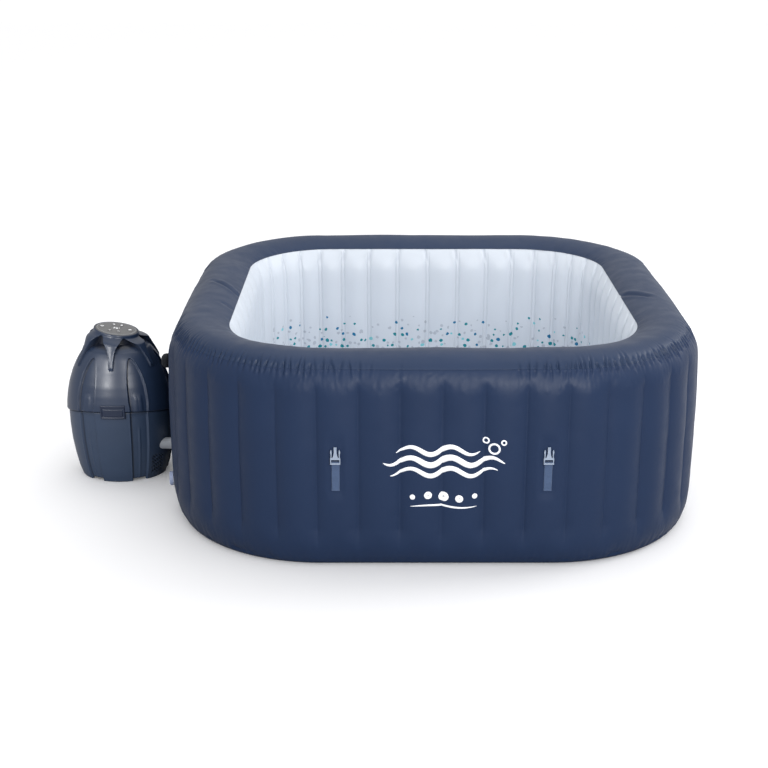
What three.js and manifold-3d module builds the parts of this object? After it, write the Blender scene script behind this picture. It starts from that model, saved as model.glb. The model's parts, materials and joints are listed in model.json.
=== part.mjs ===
// Inflatable square hot tub with its stand-alone pump and heater unit.
// Millimetres, +Z up. Origin: centre of the tub's underside on the ground.
// -Y is the tub's front, -X the side the pump unit couples to.
import * as THREE from "three";
import Module from "manifold-3d";
import { mergeVertices } from "three/addons/utils/BufferGeometryUtils.js";

const wasm = await Module();
wasm.setup();
const { Manifold, Mesh: SolidMesh } = wasm;
const { clamp, degToRad } = THREE.MathUtils;

// ---- driving dimensions -------------------------------------------------
const RIM_HALF = 900; // half the width across the top rim
const CORNER_R = 529; // plan corner radius at the rim's widest line
const CORNER_C = RIM_HALF - CORNER_R; // corner centres, in x and y
const CORNER_SEGS = 6;
const TUB_H = 695; // ground to the crown of the rim
const SKIN = 1.6; // laminated PVC skin
const WALL_OUT = -4.5; // inset of the wall's belly, which bulges outside RIM_HALF
const WALL_IN = 232; // inset of the inner wall face
const WALL_HALF = RIM_HALF - WALL_OUT; // half the width across the belly
const WALL_X = -WALL_HALF; // outer face of the left wall

// Couplings through the left wall
const PORT_Z = 129;
const PORT_FRONT_Y = -150;
const PORT_REAR_Y = -10;
const AIR_Z = 196;
const AIR_Y = -80;
const SLEEVE_R = 27; // outside of a water sleeve
const PORT_BORE_R = 19;
const AIR_SLEEVE_R = 12;
const FRONT_PORT = [0, PORT_FRONT_Y, PORT_Z];
const REAR_PORT = [0, PORT_REAR_Y, PORT_Z];

// Axis of the pump unit
const PUMP_X = -1143;
const PUMP_Y = -80;

// ---- materials ----------------------------------------------------------
const standard = (settings) => new THREE.MeshStandardMaterial(settings);
const NAVY = standard({ color: 0x2e3a57, roughness: 0.55 });
const NAVY_RIM = standard({ color: 0x3c4762, roughness: 0.5 });
const WHITE = standard({ color: 0xdfe6f2, roughness: 0.5 });
const PRINT = standard({ color: 0xc4d2e4, roughness: 0.5 });
const CASING = standard({ color: 0x303b50, roughness: 0.32 });
const GREY = standard({ color: 0x9a9c9f, roughness: 0.45 });
const PANEL = standard({ color: 0x77787a, roughness: 0.55 });
const BLACK = standard({ color: 0x15171b, roughness: 0.5 });
const WEBBING = standard({ color: 0x58688a, roughness: 0.85 });
const BUCKLE = standard({ color: 0xb4bdd0, roughness: 0.4 });
const STEEL = standard({ color: 0xb9bcc0, roughness: 0.3, metalness: 1 });
const PAPER = standard({ color: 0xf2f2ee, roughness: 0.9 });
const BOARD = standard({ color: 0x1f6b3c, roughness: 0.6 });
const CLEAR = standard({ color: 0x22262b, roughness: 0.15 });
const WEB = standard({ color: 0xc9ccd2, roughness: 0.6 });

// ---- solids -------------------------------------------------------------
// Welds a closed geometry into a solid, turning it right side out if needed.
function solid(geometry) {
  const loose = geometry.index ? geometry.toNonIndexed() : geometry;
  for (const key of Object.keys(loose.attributes)) {
    if (key !== "position") loose.deleteAttribute(key);
  }
  const welded = mergeVertices(loose, 1e-3);
  const source = welded.index.array;
  const corners = [];
  for (let i = 0; i < source.length; i += 3) {
    const [a, b, c] = source.subarray(i, i + 3);
    if (a !== b && b !== c && a !== c) corners.push(a, b, c);
  }
  const build = () =>
    new Manifold(
      new SolidMesh({
        numProp: 3,
        vertProperties: welded.attributes.position.array,
        triVerts: Uint32Array.from(corners),
      }),
    );
  const made = build();
  if (made.volume() >= 0) return made;
  corners.reverse();
  return build();
}

function add(parent, name, shape, material, place = [0, 0, 0]) {
  const { vertProperties, triVerts } = shape.getMesh();
  const positions = Float32Array.from(vertProperties);
  const geometry = new THREE.BufferGeometry()
    .setAttribute("position", new THREE.BufferAttribute(positions, 3))
    .setIndex(new THREE.BufferAttribute(Uint32Array.from(triVerts), 1));
  geometry.computeVertexNormals();
  const mesh = new THREE.Mesh(geometry, material);
  mesh.name = name;
  mesh.position.set(...place);
  parent.add(mesh);
}

function group(parent, place, rotation = [0, 0, 0]) {
  const made = new THREE.Group();
  made.position.set(...place);
  made.rotation.set(...rotation);
  parent.add(made);
  return made;
}

const union = (shapes) => Manifold.union(shapes);
const cut = (shape, tools) => shape.subtract(union(tools));

const box = (x0, x1, y0, y1, z0, z1) =>
  solid(
    new THREE.BoxGeometry(x1 - x0, y1 - y0, z1 - z0).translate(
      (x0 + x1) / 2,
      (y0 + y1) / 2,
      (z0 + z1) / 2,
    ),
  );

// Solid turned about the x or z axis. The outline is [radius, place along the axis]
// and starts and ends on the axis, or else closes on itself.
function spin(outline, segments, axis) {
  const profile = outline.map((point) => new THREE.Vector2(...point));
  const geometry = new THREE.LatheGeometry(profile, segments);
  if (axis === "z") geometry.rotateX(Math.PI / 2);
  else geometry.rotateZ(-Math.PI / 2);
  return solid(geometry);
}

// Hollow turned solid about x.
const spinRing = (outline, segments) => spin([...outline, outline[0]], segments, "x");

const cylinder = (r, from, to, segments, axis) =>
  spin([[0, from], [r, from], [r, to], [0, to]], segments, axis);
const rod = (r, x0, x1, segments) => cylinder(r, x0, x1, segments, "x");
const post = (r, z0, z1, segments) => cylinder(r, z0, z1, segments, "z");

// Moves an outline along its axis.
const shift = (outline, start) => outline.map(([r, along]) => [r, start + along]);

// Evenly spaced copies of a shape about the x or z axis.
const around = (axis, count, shape, startAngle = 0) =>
  Array.from({ length: count }, (_, i) => {
    const angle = startAngle + (i * 360) / count;
    return shape.rotate(axis === "x" ? [angle, 0, 0] : [0, 0, angle]);
  });

// Triangle corners joining each loop of points to the next; an endless
// stack also joins its last loop to its first.
function joinLoops(loops, endless) {
  const count = loops[0].length;
  const steps = endless ? loops.length : loops.length - 1;
  const corners = [];
  for (let i = 0; i < steps; i++) {
    const lower = loops[i];
    const upper = loops[(i + 1) % loops.length];
    for (let j = 0; j < count; j++) {
      const k = (j + 1) % count;
      corners.push(lower[j], lower[k], upper[k], lower[j], upper[k], upper[j]);
    }
  }
  return corners;
}

const solidFrom = (corners) =>
  solid(
    new THREE.BufferGeometry().setAttribute(
      "position",
      new THREE.Float32BufferAttribute(corners.flat(), 3),
    ),
  );

const shapeOf = (points) => new THREE.Shape(points.map((p) => new THREE.Vector2(...p)));

const polygon = (count, radiusAt) =>
  shapeOf(
    Array.from({ length: count }, (_, i) => {
      const angle = (i * 2 * Math.PI) / count;
      return [radiusAt(i) * Math.cos(angle), radiusAt(i) * Math.sin(angle)];
    }),
  );

const extrude = (shape, depth, curveSegments = 12) =>
  new THREE.ExtrudeGeometry(shape, { depth, bevelEnabled: false, curveSegments });

// ---- rounded-square plan ------------------------------------------------
// An inset is measured inwards from the rim's widest line.
function plan(inset) {
  const r = CORNER_R - inset;
  const points = [];
  const corners = [[1, 1], [-1, 1], [-1, -1], [1, -1]];
  corners.forEach(([signX, signY], k) => {
    for (let j = 0; j <= CORNER_SEGS; j++) {
      const angle = ((k + j / CORNER_SEGS) * Math.PI) / 2;
      points.push([
        CORNER_C * signX + r * Math.cos(angle),
        CORNER_C * signY + r * Math.sin(angle),
      ]);
    }
  });
  return points;
}

// A closed [inset, z] outline carried round the plan.
const ring = (outline) =>
  solidFrom(
    joinLoops(outline.map(([inset, z]) => plan(inset).map(([x, y]) => [x, y, z])), true),
  );

const sheet = (inset, z0, z1) =>
  solid(extrude(shapeOf(plan(inset)), z1 - z0).translate(0, 0, z0));

const perimeter = (inset) => 8 * CORNER_C + 2 * Math.PI * (CORNER_R - inset);

// The point a share of the way round the inset curve, from the front centre towards +X.
function pointAlong(inset, share) {
  const r = CORNER_R - inset;
  const total = perimeter(inset);
  const quarter = total / 4; // one straight and one corner
  const travel = ((((share % 1) + 1) % 1) * total + CORNER_C) % total;
  const turns = Math.floor(travel / quarter);
  const rest = travel - turns * quarter;
  let x = -CORNER_C + rest;
  let y = -(CORNER_C + r);
  if (rest > 2 * CORNER_C) {
    const angle = (rest - 2 * CORNER_C) / r;
    x = CORNER_C + r * Math.sin(angle);
    y = -CORNER_C - r * Math.cos(angle);
  }
  const cos = Math.cos((turns * Math.PI) / 2);
  const sin = Math.sin((turns * Math.PI) / 2);
  return [x * cos - y * sin, x * sin + y * cos];
}

const tub = new THREE.Group();

// ---- tub skins ----------------------------------------------------------
// Visible faces, [inset, z].
const OUTER_FACE = [
  [30, 2.6], [9, 50], [-4, 141], [WALL_OUT, 420], [0, 578], [11, 628], [26.5, 654],
];
const INNER_FACE = [[205, 661], [222, 646], [231, 600], [WALL_IN, 120], [228, 2.8]];
const RIM_FACE = [
  [26.5, 656.6], [40, 673], [66, 687.5], [103, TUB_H],
  [145, 690.5], [180, 679.5], [205, 663.8],
];

// Up the visible face, then back along it one skin thickness behind.
const skin = (face, insetStep, zStep) =>
  ring([...face, ...face.map(([inset, z]) => [inset + insetStep, z + zStep]).reverse()]);

// Rods along the two water couplings and the air coupling, in a frame whose origin is at frameY.
const portRods = (waterR, airR, x0, x1, frameY = 0) => [
  rod(waterR, x0, x1, 14).translate([0, PORT_FRONT_Y - frameY, PORT_Z]),
  rod(waterR, x0, x1, 14).translate([0, PORT_REAR_Y - frameY, PORT_Z]),
  rod(airR, x0, x1, 10).translate([0, AIR_Y - frameY, AIR_Z]),
];
const sleeveHoles = (clearance) =>
  portRods(SLEEVE_R + clearance, AIR_SLEEVE_R + clearance, -950, -640);

// Place on the front-left corner's belly; turn is the wall normal's swing
// from -X towards the front, in degrees.
const onCorner = (y, z, turn) => ({
  x: -CORNER_C - Math.sqrt((CORNER_R - WALL_OUT) ** 2 - (y + CORNER_C) ** 2),
  y,
  z,
  turn,
});
const AIR_VALVE = onCorner(-385, 527, 1.5);
const DRAIN = onCorner(-440, 112, 7.4);
const valveHole = ({ x, y, z, turn }, r) =>
  rod(r, -40, 40, 16).rotate([0, 0, turn]).translate([x, y, z]);

const outerHoles = [
  ...sleeveHoles(SKIN),
  valveHole(AIR_VALVE, 16.5),
  valveHole(DRAIN, 17.5),
];
add(tub, "outer_wall", cut(skin(OUTER_FACE, SKIN, 0), outerHoles), NAVY);
add(tub, "top_rim", skin(RIM_FACE, 0, -SKIN), NAVY_RIM);
add(tub, "inner_wall", cut(skin(INNER_FACE, -SKIN, 0), sleeveHoles(SKIN)), WHITE);
add(tub, "base_sheet", sheet(28.5, 0, 1.8), NAVY);
add(tub, "floor_liner", sheet(230, 2.4, 4.2), PRINT);

// ---- I-beam webs --------------------------------------------------------
const WEBS = 48;
const WEB_T = 1.2;
const WEB_H = 545;
const WEB_FOOT_Z = 55;
const WEB_SHIFT = 14; // outer edge of the first web, right of the front centre line
const WEB_BACK_SHARE = 0.93; // its inner edge is left of that line by this share of the shift
const WEB_OUT = 17; // insets of a web's two edges
const WEB_IN = 224;
const WEB_HOLE_GAP = 4;
const WEB_VALVE_HOLE_R = 24;

// The inner edges stand wider apart along the straights and closer round the corners.
const spread = (share) => share + (0.24 * Math.sin(8 * Math.PI * share)) / (8 * Math.PI);

function web(k) {
  const share = k / WEBS;
  const outer = pointAlong(WEB_OUT, share + WEB_SHIFT / perimeter(WEB_OUT));
  const inner = pointAlong(
    WEB_IN,
    spread(share) - (WEB_SHIFT / perimeter(WEB_IN)) * WEB_BACK_SHARE,
  );
  const dx = outer[0] - inner[0];
  const dy = outer[1] - inner[1];
  return solid(
    new THREE.BoxGeometry(Math.hypot(dx, dy), WEB_T, WEB_H)
      .rotateZ(Math.atan2(dy, dx))
      .translate(
        (outer[0] + inner[0]) / 2,
        (outer[1] + inner[1]) / 2,
        WEB_FOOT_Z + WEB_H / 2,
      ),
  );
}

// A tape near the foot ties all the webs, and a short one runs above the couplings.
const footTape = ring([[112, 60], [114, 60], [114, 80], [112, 80]]);
const shortTape = box(-788, -786, -255, 95, 572, 592);
add(
  tub,
  "ibeam_webs",
  cut(union([footTape, shortTape, ...Array.from({ length: WEBS }, (_, k) => web(k))]), [
    ...sleeveHoles(WEB_HOLE_GAP),
    valveHole(AIR_VALVE, WEB_VALVE_HOLE_R),
    valveHole(DRAIN, WEB_VALVE_HOLE_R),
  ]),
  WEB,
);

// Bubble channel where the inner wall meets the floor, [inset, z].
const JET_RING = [[233.5, 6], [266, 6], [266, 24], [254, 38], [233.5, 42]];
add(tub, "air_jet_ring", ring(JET_RING), WHITE);

// ---- wall couplings -----------------------------------------------------
// Outlines are [radius, distance inwards from the wall's outer face].
// Each port is a sleeve with two welded flanges and a spigot outside the wall.
const WATER_PORT = [
  [PORT_BORE_R, -30], [SLEEVE_R, -30], [SLEEVE_R, -6], [40, -5], [41, -1], [SLEEVE_R, -1],
  [SLEEVE_R, 239], [38, 239], [38, 243], [SLEEVE_R, 243], [SLEEVE_R, 252],
  [PORT_BORE_R, 252],
];
const AIR_PORT = [
  [8, -26], [AIR_SLEEVE_R, -26], [AIR_SLEEVE_R, -5], [20, -4], [20, -1],
  [AIR_SLEEVE_R, -1], [AIR_SLEEVE_R, 239], [20, 239], [20, 243], [8, 243],
];
const GASKET = [[PORT_BORE_R, -33.6], [26, -33.6], [26, -30.4], [PORT_BORE_R, -30.4]];
const waterPort = spinRing(shift(WATER_PORT, WALL_X), 14);
const gasket = spinRing(shift(GASKET, WALL_X), 18);
add(tub, "water_port_front", waterPort, GREY, FRONT_PORT);
add(tub, "water_port_rear", waterPort, GREY, REAR_PORT);
add(tub, "air_port", spinRing(shift(AIR_PORT, WALL_X), 10), GREY, [0, AIR_Y, AIR_Z]);
add(tub, "gasket_front", gasket, BLACK, FRONT_PORT);
add(tub, "gasket_rear", gasket, BLACK, REAR_PORT);

// Strainer over the front port's inner end.
const SOCKET_R = 28.8; // fits over a port's inner end
const SCREEN = [
  [0, 274], [20, 273], [34, 268], [40, 258], [40, 244],
  [SOCKET_R, 244], [SOCKET_R, 258], [22, 265], [0, 270],
];
const SLOT_PITCH = 11;
const screenSlots = [-1, 0, 1].map((i) =>
  box(WALL_X + 262, WALL_X + 280, -2.5, 2.5, -18, 18).translate([0, i * SLOT_PITCH, 0]),
);
const screen = cut(spin(shift(SCREEN, WALL_X), 14, "x"), screenSlots);
add(tub, "debris_screen", screen, GREY, FRONT_PORT);

// ---- filter on the rear port --------------------------------------------
// Outlines are [radius, distance inwards from the cup's foot].
const CUP_FOOT_X = WALL_X + 244;
const CUP = [
  [SOCKET_R, 0], [64, 0], [64, 118], [60.5, 118], [60.5, 10],
  [24, 10], [24, 8.6], [SOCKET_R, 8.6],
];
const FILTER_CAP = [[0, 119], [68, 119], [68, 132], [62, 138], [0, 140]];
const PLEATS = 20;
const PLEAT_TIP_R = 58;
const PLEAT_ROOT_R = 47;
const CARTRIDGE_BORE_R = 22;
const CARTRIDGE_L = 104;

const cupWindow = box(CUP_FOOT_X + 30, CUP_FOOT_X + 96, 40, 80, -11, 11);
const cup = cut(spinRing(shift(CUP, CUP_FOOT_X), 20), around("x", 6, cupWindow, 30));
add(tub, "filter_housing", cup, WHITE, REAR_PORT);

function cartridge() {
  const star = polygon(2 * PLEATS, (i) => (i % 2 ? PLEAT_ROOT_R : PLEAT_TIP_R));
  star.holes.push(new THREE.Path().absarc(0, 0, CARTRIDGE_BORE_R, 0, 2 * Math.PI, true));
  return solid(
    extrude(star, CARTRIDGE_L)
      .rotateY(Math.PI / 2)
      .translate(CUP_FOOT_X + 12, 0, 0),
  );
}
add(tub, "filter_cartridge", cartridge(), PAPER, REAR_PORT);

const filterCap = union([
  spin(shift(FILTER_CAP, CUP_FOOT_X), 24, "x"),
  box(CUP_FOOT_X + 136, CUP_FOOT_X + 152, -40, 40, -5, 5), // grip bar
]);
add(tub, "filter_cap", filterCap, WHITE, REAR_PORT);

// ---- inflation valve and drain valve ------------------------------------
// Local +X is the wall's outward normal. Outlines are [radius, x];
// capR is the cap's widest radius, where eight grip grooves are cut.
function addValve({ name, at, body, cap, capR, bodyMaterial, capMaterial }) {
  const frame = group(tub, [at.x, at.y, at.z], [0, 0, Math.PI + degToRad(at.turn)]);
  const groove = box(12, 40, capR - 1.2, capR + 4, -1.6, 1.6);
  add(frame, name + "_body", spinRing(body, 18), bodyMaterial);
  add(frame, name + "_cap", cut(spin(cap, 18, "x"), around("x", 8, groove)), capMaterial);
}
addValve({
  name: "air_valve",
  at: AIR_VALVE,
  body: [[9, -22], [16, -22], [16, 1], [27, 1.2], [27, 4], [17, 6], [17, 12], [9, 12]],
  cap: [[0, 28], [14, 27], [22, 21], [25, 12], [25, 6.8], [17.6, 6.8], [17.6, 13], [0, 13]],
  capR: 25,
  bodyMaterial: NAVY,
  capMaterial: NAVY,
});
addValve({
  name: "drain_valve",
  at: DRAIN,
  body: [
    [10, -24], [17, -24], [17, 1], [26, 1.2], [26, 3.5], [19, 4], [19, 11], [10, 11],
  ],
  cap: [
    [0, 18], [20, 17], [24.5, 14], [24.5, 4.6], [19.6, 4.6], [19.6, 11.6], [0, 11.6],
  ],
  capR: 24.5,
  bodyMaterial: GREY,
  capMaterial: BUCKLE,
});

// ---- cover straps and buckles -------------------------------------------
// Local frame: X along the wall, -Y outwards, Z up, origin on the stitched line.
const STRAP_Z = 268; // stitched end of each cover strap
const STRAP_W = 25;
const STRAP_L = 92;
const PIN_Y = -6.6; // buckle's bar
const PIN_Z = STRAP_L + 4;
const LOOP_OUT_R = 4; // strap wrapped round the bar
const LOOP_IN_R = 2.4;

// Drawn in (-Y, Z): a flat tail that rises and wraps the bar.
function strap() {
  const loop = Array.from({ length: 9 }, (_, i) => {
    const angle = degToRad(-125 + (i * 300) / 8);
    return [-PIN_Y + LOOP_OUT_R * Math.cos(angle), PIN_Z + LOOP_OUT_R * Math.sin(angle)];
  });
  const side = shapeOf([
    [1, 0],
    [2.6, 0],
    [2.6, STRAP_L - 4],
    [4.2, STRAP_L - 1],
    ...loop,
    [1, STRAP_L - 1],
  ]);
  side.holes.push(new THREE.Path().absarc(-PIN_Y, PIN_Z, LOOP_IN_R, 0, Math.PI * 2, true));
  // The extrusion's (x, y, z) becomes the strap's (-Y, Z, X).
  const toStrap = new THREE.Matrix4().set(
    0, 0, 1, -STRAP_W / 2,
    -1, 0, 0, 0,
    0, 1, 0, 0,
    0, 0, 0, 1,
  );
  return solid(extrude(side, STRAP_W, 6).applyMatrix4(toStrap));
}

// Plate with an [x, z] outline.
function plate(points, y0, y1) {
  const toPlate = new THREE.Matrix4().set(
    1, 0, 0, 0,
    0, 0, 1, y0,
    0, 1, 0, 0,
    0, 0, 0, 1,
  );
  return solid(extrude(shapeOf(points), y1 - y0).applyMatrix4(toPlate));
}

// Male half of a side-release buckle, its bar at the local origin. Outlines are [x, z];
// the side and the prong are drawn on +X and mirrored.
const BUCKLE_SIDE = [[13, -4], [15.8, -4], [15.8, 13], [15, 16], [13, 16]];
const BUCKLE_PRONG = [
  [11.8, 15], [14.8, 15], [14, 23], [14.6, 29], [15.8, 35],
  [13.8, 42.5], [12, 42.5], [10.9, 36], [11.2, 25],
];
const BUCKLE_TONGUE = [
  [-9, 15], [9, 15], [6.6, 22], [4.6, 31], [4.2, 39],
  [4.6, 51], [-4.6, 51], [-4.2, 39], [-4.6, 31], [-6.6, 22],
];
function buckle() {
  const pair = (points, y0, y1) =>
    [1, -1].map((sign) => plate(points.map(([x, z]) => [sign * x, z]), y0, y1));
  const tongue = cut(plate(BUCKLE_TONGUE, -1.9, 1.5), [
    box(-1.5, 1.5, -3, -0.7, 44.5, 47.5),
    box(-3, 3, -3, -0.9, 26, 28),
  ]);
  return union([
    ...pair(BUCKLE_SIDE, -2.6, 2.2),
    box(-13.4, 13.4, -2.6, 2.2, 10, 16), // crossbar
    box(-13.4, 13.4, -6.6, -4.9, -4, 0.6), // lip outside the bar
    box(-15.8, -13, -6.6, -2.5, -4, 0.6),
    box(13, 15.8, -6.6, -2.5, -4, 0.6),
    rod(1.7, -13.4, 13.4, 8),
    ...pair(BUCKLE_PRONG, -2.2, 1.8),
    tongue,
  ]);
}

// [name, place along the wall, quarter turns from the front]
const STRAPS = [
  ["front_left", -319, 0], ["front_right", 346, 0],
  ["right_front", -341, 1], ["right_rear", 341, 1],
  ["rear_right", -341, 2], ["rear_left", 341, 2],
  ["left_rear", -341, 3], ["left_front", 341, 3],
];
const strapMade = strap();
const buckleMade = buckle();
for (const [name, along, quarter] of STRAPS) {
  const turn = (quarter * Math.PI) / 2;
  const cos = Math.round(Math.cos(turn));
  const sin = Math.round(Math.sin(turn));
  const place = [along * cos + WALL_HALF * sin, along * sin - WALL_HALF * cos, STRAP_Z];
  const frame = group(tub, place, [0, 0, turn]);
  add(frame, "strap_" + name, strapMade, WEBBING);
  add(frame, "buckle_" + name, buckleMade, BUCKLE, [0, PIN_Y, PIN_Z]);
}

// ---- pump unit casings --------------------------------------------------
const pump = group(tub, [PUMP_X, PUMP_Y, 0]);

const PUMP_FLAT = 0.85; // the unit's depth as a share of its width
const ROUND_Z = 540; // fully round from here up
const FLAT_Z = 430; // fully flattened from here down
const JOINT_Z = 245; // joint between the casings, on the axis
const JOINT_SLOPE = 0.236; // the joint rises to the front
const SLOPE_FOOT_Z = 40; // the slope fades out to these heights
const SLOPE_TOP_Z = 430;

// Outlines of the casings, [radius, z], before flattening and sloping.
const DOME = [
  [197, JOINT_Z], [195.5, 275], [190, 315], [181, 358],
  [166, 404], [149, 440], [130, 470], [112, 492],
];
const DOME_INNER = [[108, 490], [126, 467], [162, 402], [186, 315], [192.5, JOINT_Z]];
const SKIRT = [[157, 0], [167, 28], [178, 80], [186, 135], [189.5, 190], [190, 243.4]];
const SKIRT_INNER = [[186, 243.4], [182, 135], [174, 80], [153.5, 0]];
// Six flutes, centred between the head's arms. One sector is [degrees, depth].
const FLUTE_SECTOR = [[-30, 0], [-13.5, 0], [-11, 6], [11, 6], [13.5, 0]];
const DOME_FLUTE_TOP = 440;

// 0 at one height, 1 at the other, held beyond them.
const ramp = (z, zero, full) => clamp((z - zero) / (full - zero), 0, 1);

function pumpPoint(r, z, degrees) {
  const angle = degToRad(degrees);
  const y = r * Math.sin(angle) * (1 - (1 - PUMP_FLAT) * ramp(z, ROUND_Z, FLAT_Z));
  const slopeShare = Math.min(
    ramp(z, SLOPE_FOOT_Z, JOINT_Z),
    ramp(z, SLOPE_TOP_Z, JOINT_Z),
  );
  return [r * Math.cos(angle), y, z - JOINT_SLOPE * y * slopeShare];
}

// Shell between two outlines, fluted below fluteTop.
function flutedShell(outer, inner, fluteTop = Infinity) {
  const stations = [0, 60, 120, 180, 240, 300].flatMap((start) =>
    FLUTE_SECTOR.map(([degrees, depth]) => [start + degrees, depth]),
  );
  const loops = [...outer, ...inner].map(([r, z]) =>
    stations.map(([degrees, depth]) => pumpPoint(z < fluteTop ? r - depth : r, z, degrees)),
  );
  return solidFrom(joinLoops(loops, true));
}

// Name-plate blank let into both casings across the joint.
const BADGE_HALF = 38;
const BADGE_Z0 = 270;
const BADGE_Z1 = 300;
const BADGE_GAP = 0.4;
const badgeX = BADGE_HALF + BADGE_GAP;
const badgeHole = box(
  -badgeX, badgeX, -230, -140, BADGE_Z0 - BADGE_GAP, BADGE_Z1 + BADGE_GAP,
);

const topShell = cut(flutedShell(DOME, DOME_INNER, DOME_FLUTE_TOP), [badgeHole]);
add(pump, "pump_top_shell", topShell, CASING);

const baseShell = cut(flutedShell(SKIRT, SKIRT_INNER), [
  ...around("z", 6, box(100, 210, -22, 22, -5, 9)), // notches under the flutes
  ...portRods(22.2, 9.8, 110, 230, PUMP_Y),
  // Cooling slots low on the coupling side, towards the front
  ...[-42, -37, -32, -27].map((angle) =>
    box(120, 210, -3, 3, 30, 92).rotate([0, 0, angle]),
  ),
  badgeHole,
]);
add(pump, "pump_base_shell", baseShell, CASING);
add(pump, "pump_base_plate", post(146, 11, 14, 20).scale([1, PUMP_FLAT, 1]), CASING);
const badge = box(-BADGE_HALF, BADGE_HALF, -168.5, -158, BADGE_Z0, BADGE_Z1);
add(pump, "badge_plate", badge, CASING);

// ---- control head -------------------------------------------------------
// Collar with six arms lying on the dome, cut square to the leaning panel.
const HEAD_TILT = 9; // panel leans towards the tub, degrees
const HEAD_Z = 550; // panel centre height
const PANEL_R = 76;
const DOME_GAP = 1.9; // head stands off the dome by this, measured on the radius
const ARM_RISE = 6;
// [z, radius, depth below that radius, half width in degrees]
const ARM = [
  [530, 98, 20, 17], [505, 110, 20, 12.5], [487, 119, 2.5, 9.5],
  [463, 136, 2.5, 5.5], [432, 153.5, 2.5, 2.8],
];
const COLLAR = [
  [0, 493.1], [106, 493.1], [98, 510], [86, 526], [82, 540], [82, 580], [0, 580],
];
const COLLAR_HOLLOW = [[0, 470], [100, 470], [100, 496], [68, 520], [67, 575], [0, 575]];

function arm(angle) {
  const loops = ARM.map(([z, r, depth, half]) => [
    pumpPoint(r + ARM_RISE, z, angle - half),
    pumpPoint(r + ARM_RISE, z, angle + half),
    pumpPoint(r - depth, z, angle + half),
    pumpPoint(r - depth, z, angle - half),
  ]);
  const [a, b, c, d] = loops[0];
  const [e, f, g, h] = loops[loops.length - 1];
  return solidFrom([...joinLoops(loops, false), d, c, b, d, b, a, e, f, g, e, g, h]);
}

// The dome grown by the gap, without flutes.
function domeClearance() {
  const topZ = 492.8;
  const loops = [...DOME, [112, topZ]].map(([r, z]) =>
    Array.from({ length: 30 }, (_, i) => pumpPoint(r + DOME_GAP, z, i * 12)),
  );
  const bottom = loops[0];
  const top = loops[loops.length - 1];
  const caps = bottom.flatMap((point, j) => {
    const k = (j + 1) % bottom.length;
    return [[0, 0, JOINT_Z], bottom[k], point, [0, 0, topZ], top[j], top[k]];
  });
  return solidFrom([...joinLoops(loops, false), ...caps]);
}

const tilted = (shape) => shape.rotate([0, HEAD_TILT, 0]).translate([0, 0, HEAD_Z]);
const head = cut(
  union([spin(COLLAR, 24, "z"), ...[-90, -30, 30, 90, 150, 210].map(arm)]),
  [
    domeClearance(),
    tilted(post(200, 0, 120, 8)),
    tilted(post(PANEL_R + 0.6, -6, 10, 24)),
    spin(COLLAR_HOLLOW, 20, "z"),
  ],
);
add(pump, "control_head", head, CASING);

// ---- control panel ------------------------------------------------------
// Local Z is the panel's normal, origin at the panel's centre on its face.
const face = group(pump, [0, 0, HEAD_Z], [0, degToRad(HEAD_TILT), 0]);
const BUTTON_GAP = 0.4;
// [name, x, y, radius]
const BUTTONS = [
  ["power_button", -52, 0, 10], ["bubble_button", 50, 0, 10],
  ["heat_button", -16, 38, 7], ["timer_button", 12, 38, 7],
  ["temp_up_button", 14, -34, 8], ["temp_down_button", -18, -34, 8],
];
const PANEL_DISC = [
  [0, -5.4], [PANEL_R, -5.4], [PANEL_R, -1.2], [PANEL_R - 3, 0.6], [0, 0.6],
];
const panel = cut(spin(PANEL_DISC, 24, "z"), [
  box(-22.5, 16.5, -8.5, 12.5, -9, 4), // opening for the display
  ...BUTTONS.map(([, x, y, r]) => post(r + BUTTON_GAP, -9, 4, 12).translate([x, y, 0])),
]);
add(face, "control_panel", panel, PANEL);
add(face, "display_window", box(-22, 16, -8, 12, -5, 0.4), CLEAR);
for (const [name, x, y, r] of BUTTONS) {
  const outline = [[0, -8], [r, -8], [r, 1.4], [r - 1.2, 2.2], [0, 2.4]];
  add(face, name, spin(outline, 12, "z"), GREY, [x, y, 0]);
}
add(face, "circuit_board", box(-48, 46, -36, 38, -11.6, -10), BOARD);

// ---- water side ---------------------------------------------------------
// Outlines are [radius, x] in the pump's frame, about a port axis.
const COUPLING_X = WALL_X - PUMP_X; // the wall's outer face
const FRONT_PIPE = [0, PORT_FRONT_Y - PUMP_Y, PORT_Z];
const REAR_PIPE = [0, PORT_REAR_Y - PUMP_Y, PORT_Z];
const PIPE_R = 21.5;
const PIPE_BORE_R = 17;
// Flanged pipe end that meets the gasket
const PIPE_END = [
  [PIPE_BORE_R, COUPLING_X - 34.2], [26, COUPLING_X - 34.2],
  [26, COUPLING_X - 38], [PIPE_R, COUPLING_X - 38],
];
const CIRCULATION_PUMP = [
  ...PIPE_END,
  [PIPE_R, 84], [46, 78], [50, 66], [50, 26], [41, 20], [41, -88], [34, -96],
  [6, -96], [6, 28], [44, 30], [44, 66], [PIPE_BORE_R, 72],
];
const HEATER_TUBE = [
  ...PIPE_END,
  [PIPE_R, 124], [29, 118], [29, -84], [PIPE_R, -90], [PIPE_R, -108], [PIPE_BORE_R, -108],
];
add(pump, "circulation_pump", spinRing(CIRCULATION_PUMP, 16), BLACK, REAR_PIPE);

const impeller = union([
  rod(5.4, -80, 60, 12),
  rod(38, 34, 40, 14),
  ...around("x", 5, box(39, 60, 4, 37, -1.5, 1.5)),
]);
add(pump, "impeller", impeller, GREY, REAR_PIPE);
add(pump, "heater_tube", spinRing(HEATER_TUBE, 14), STEEL, FRONT_PIPE);

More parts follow.
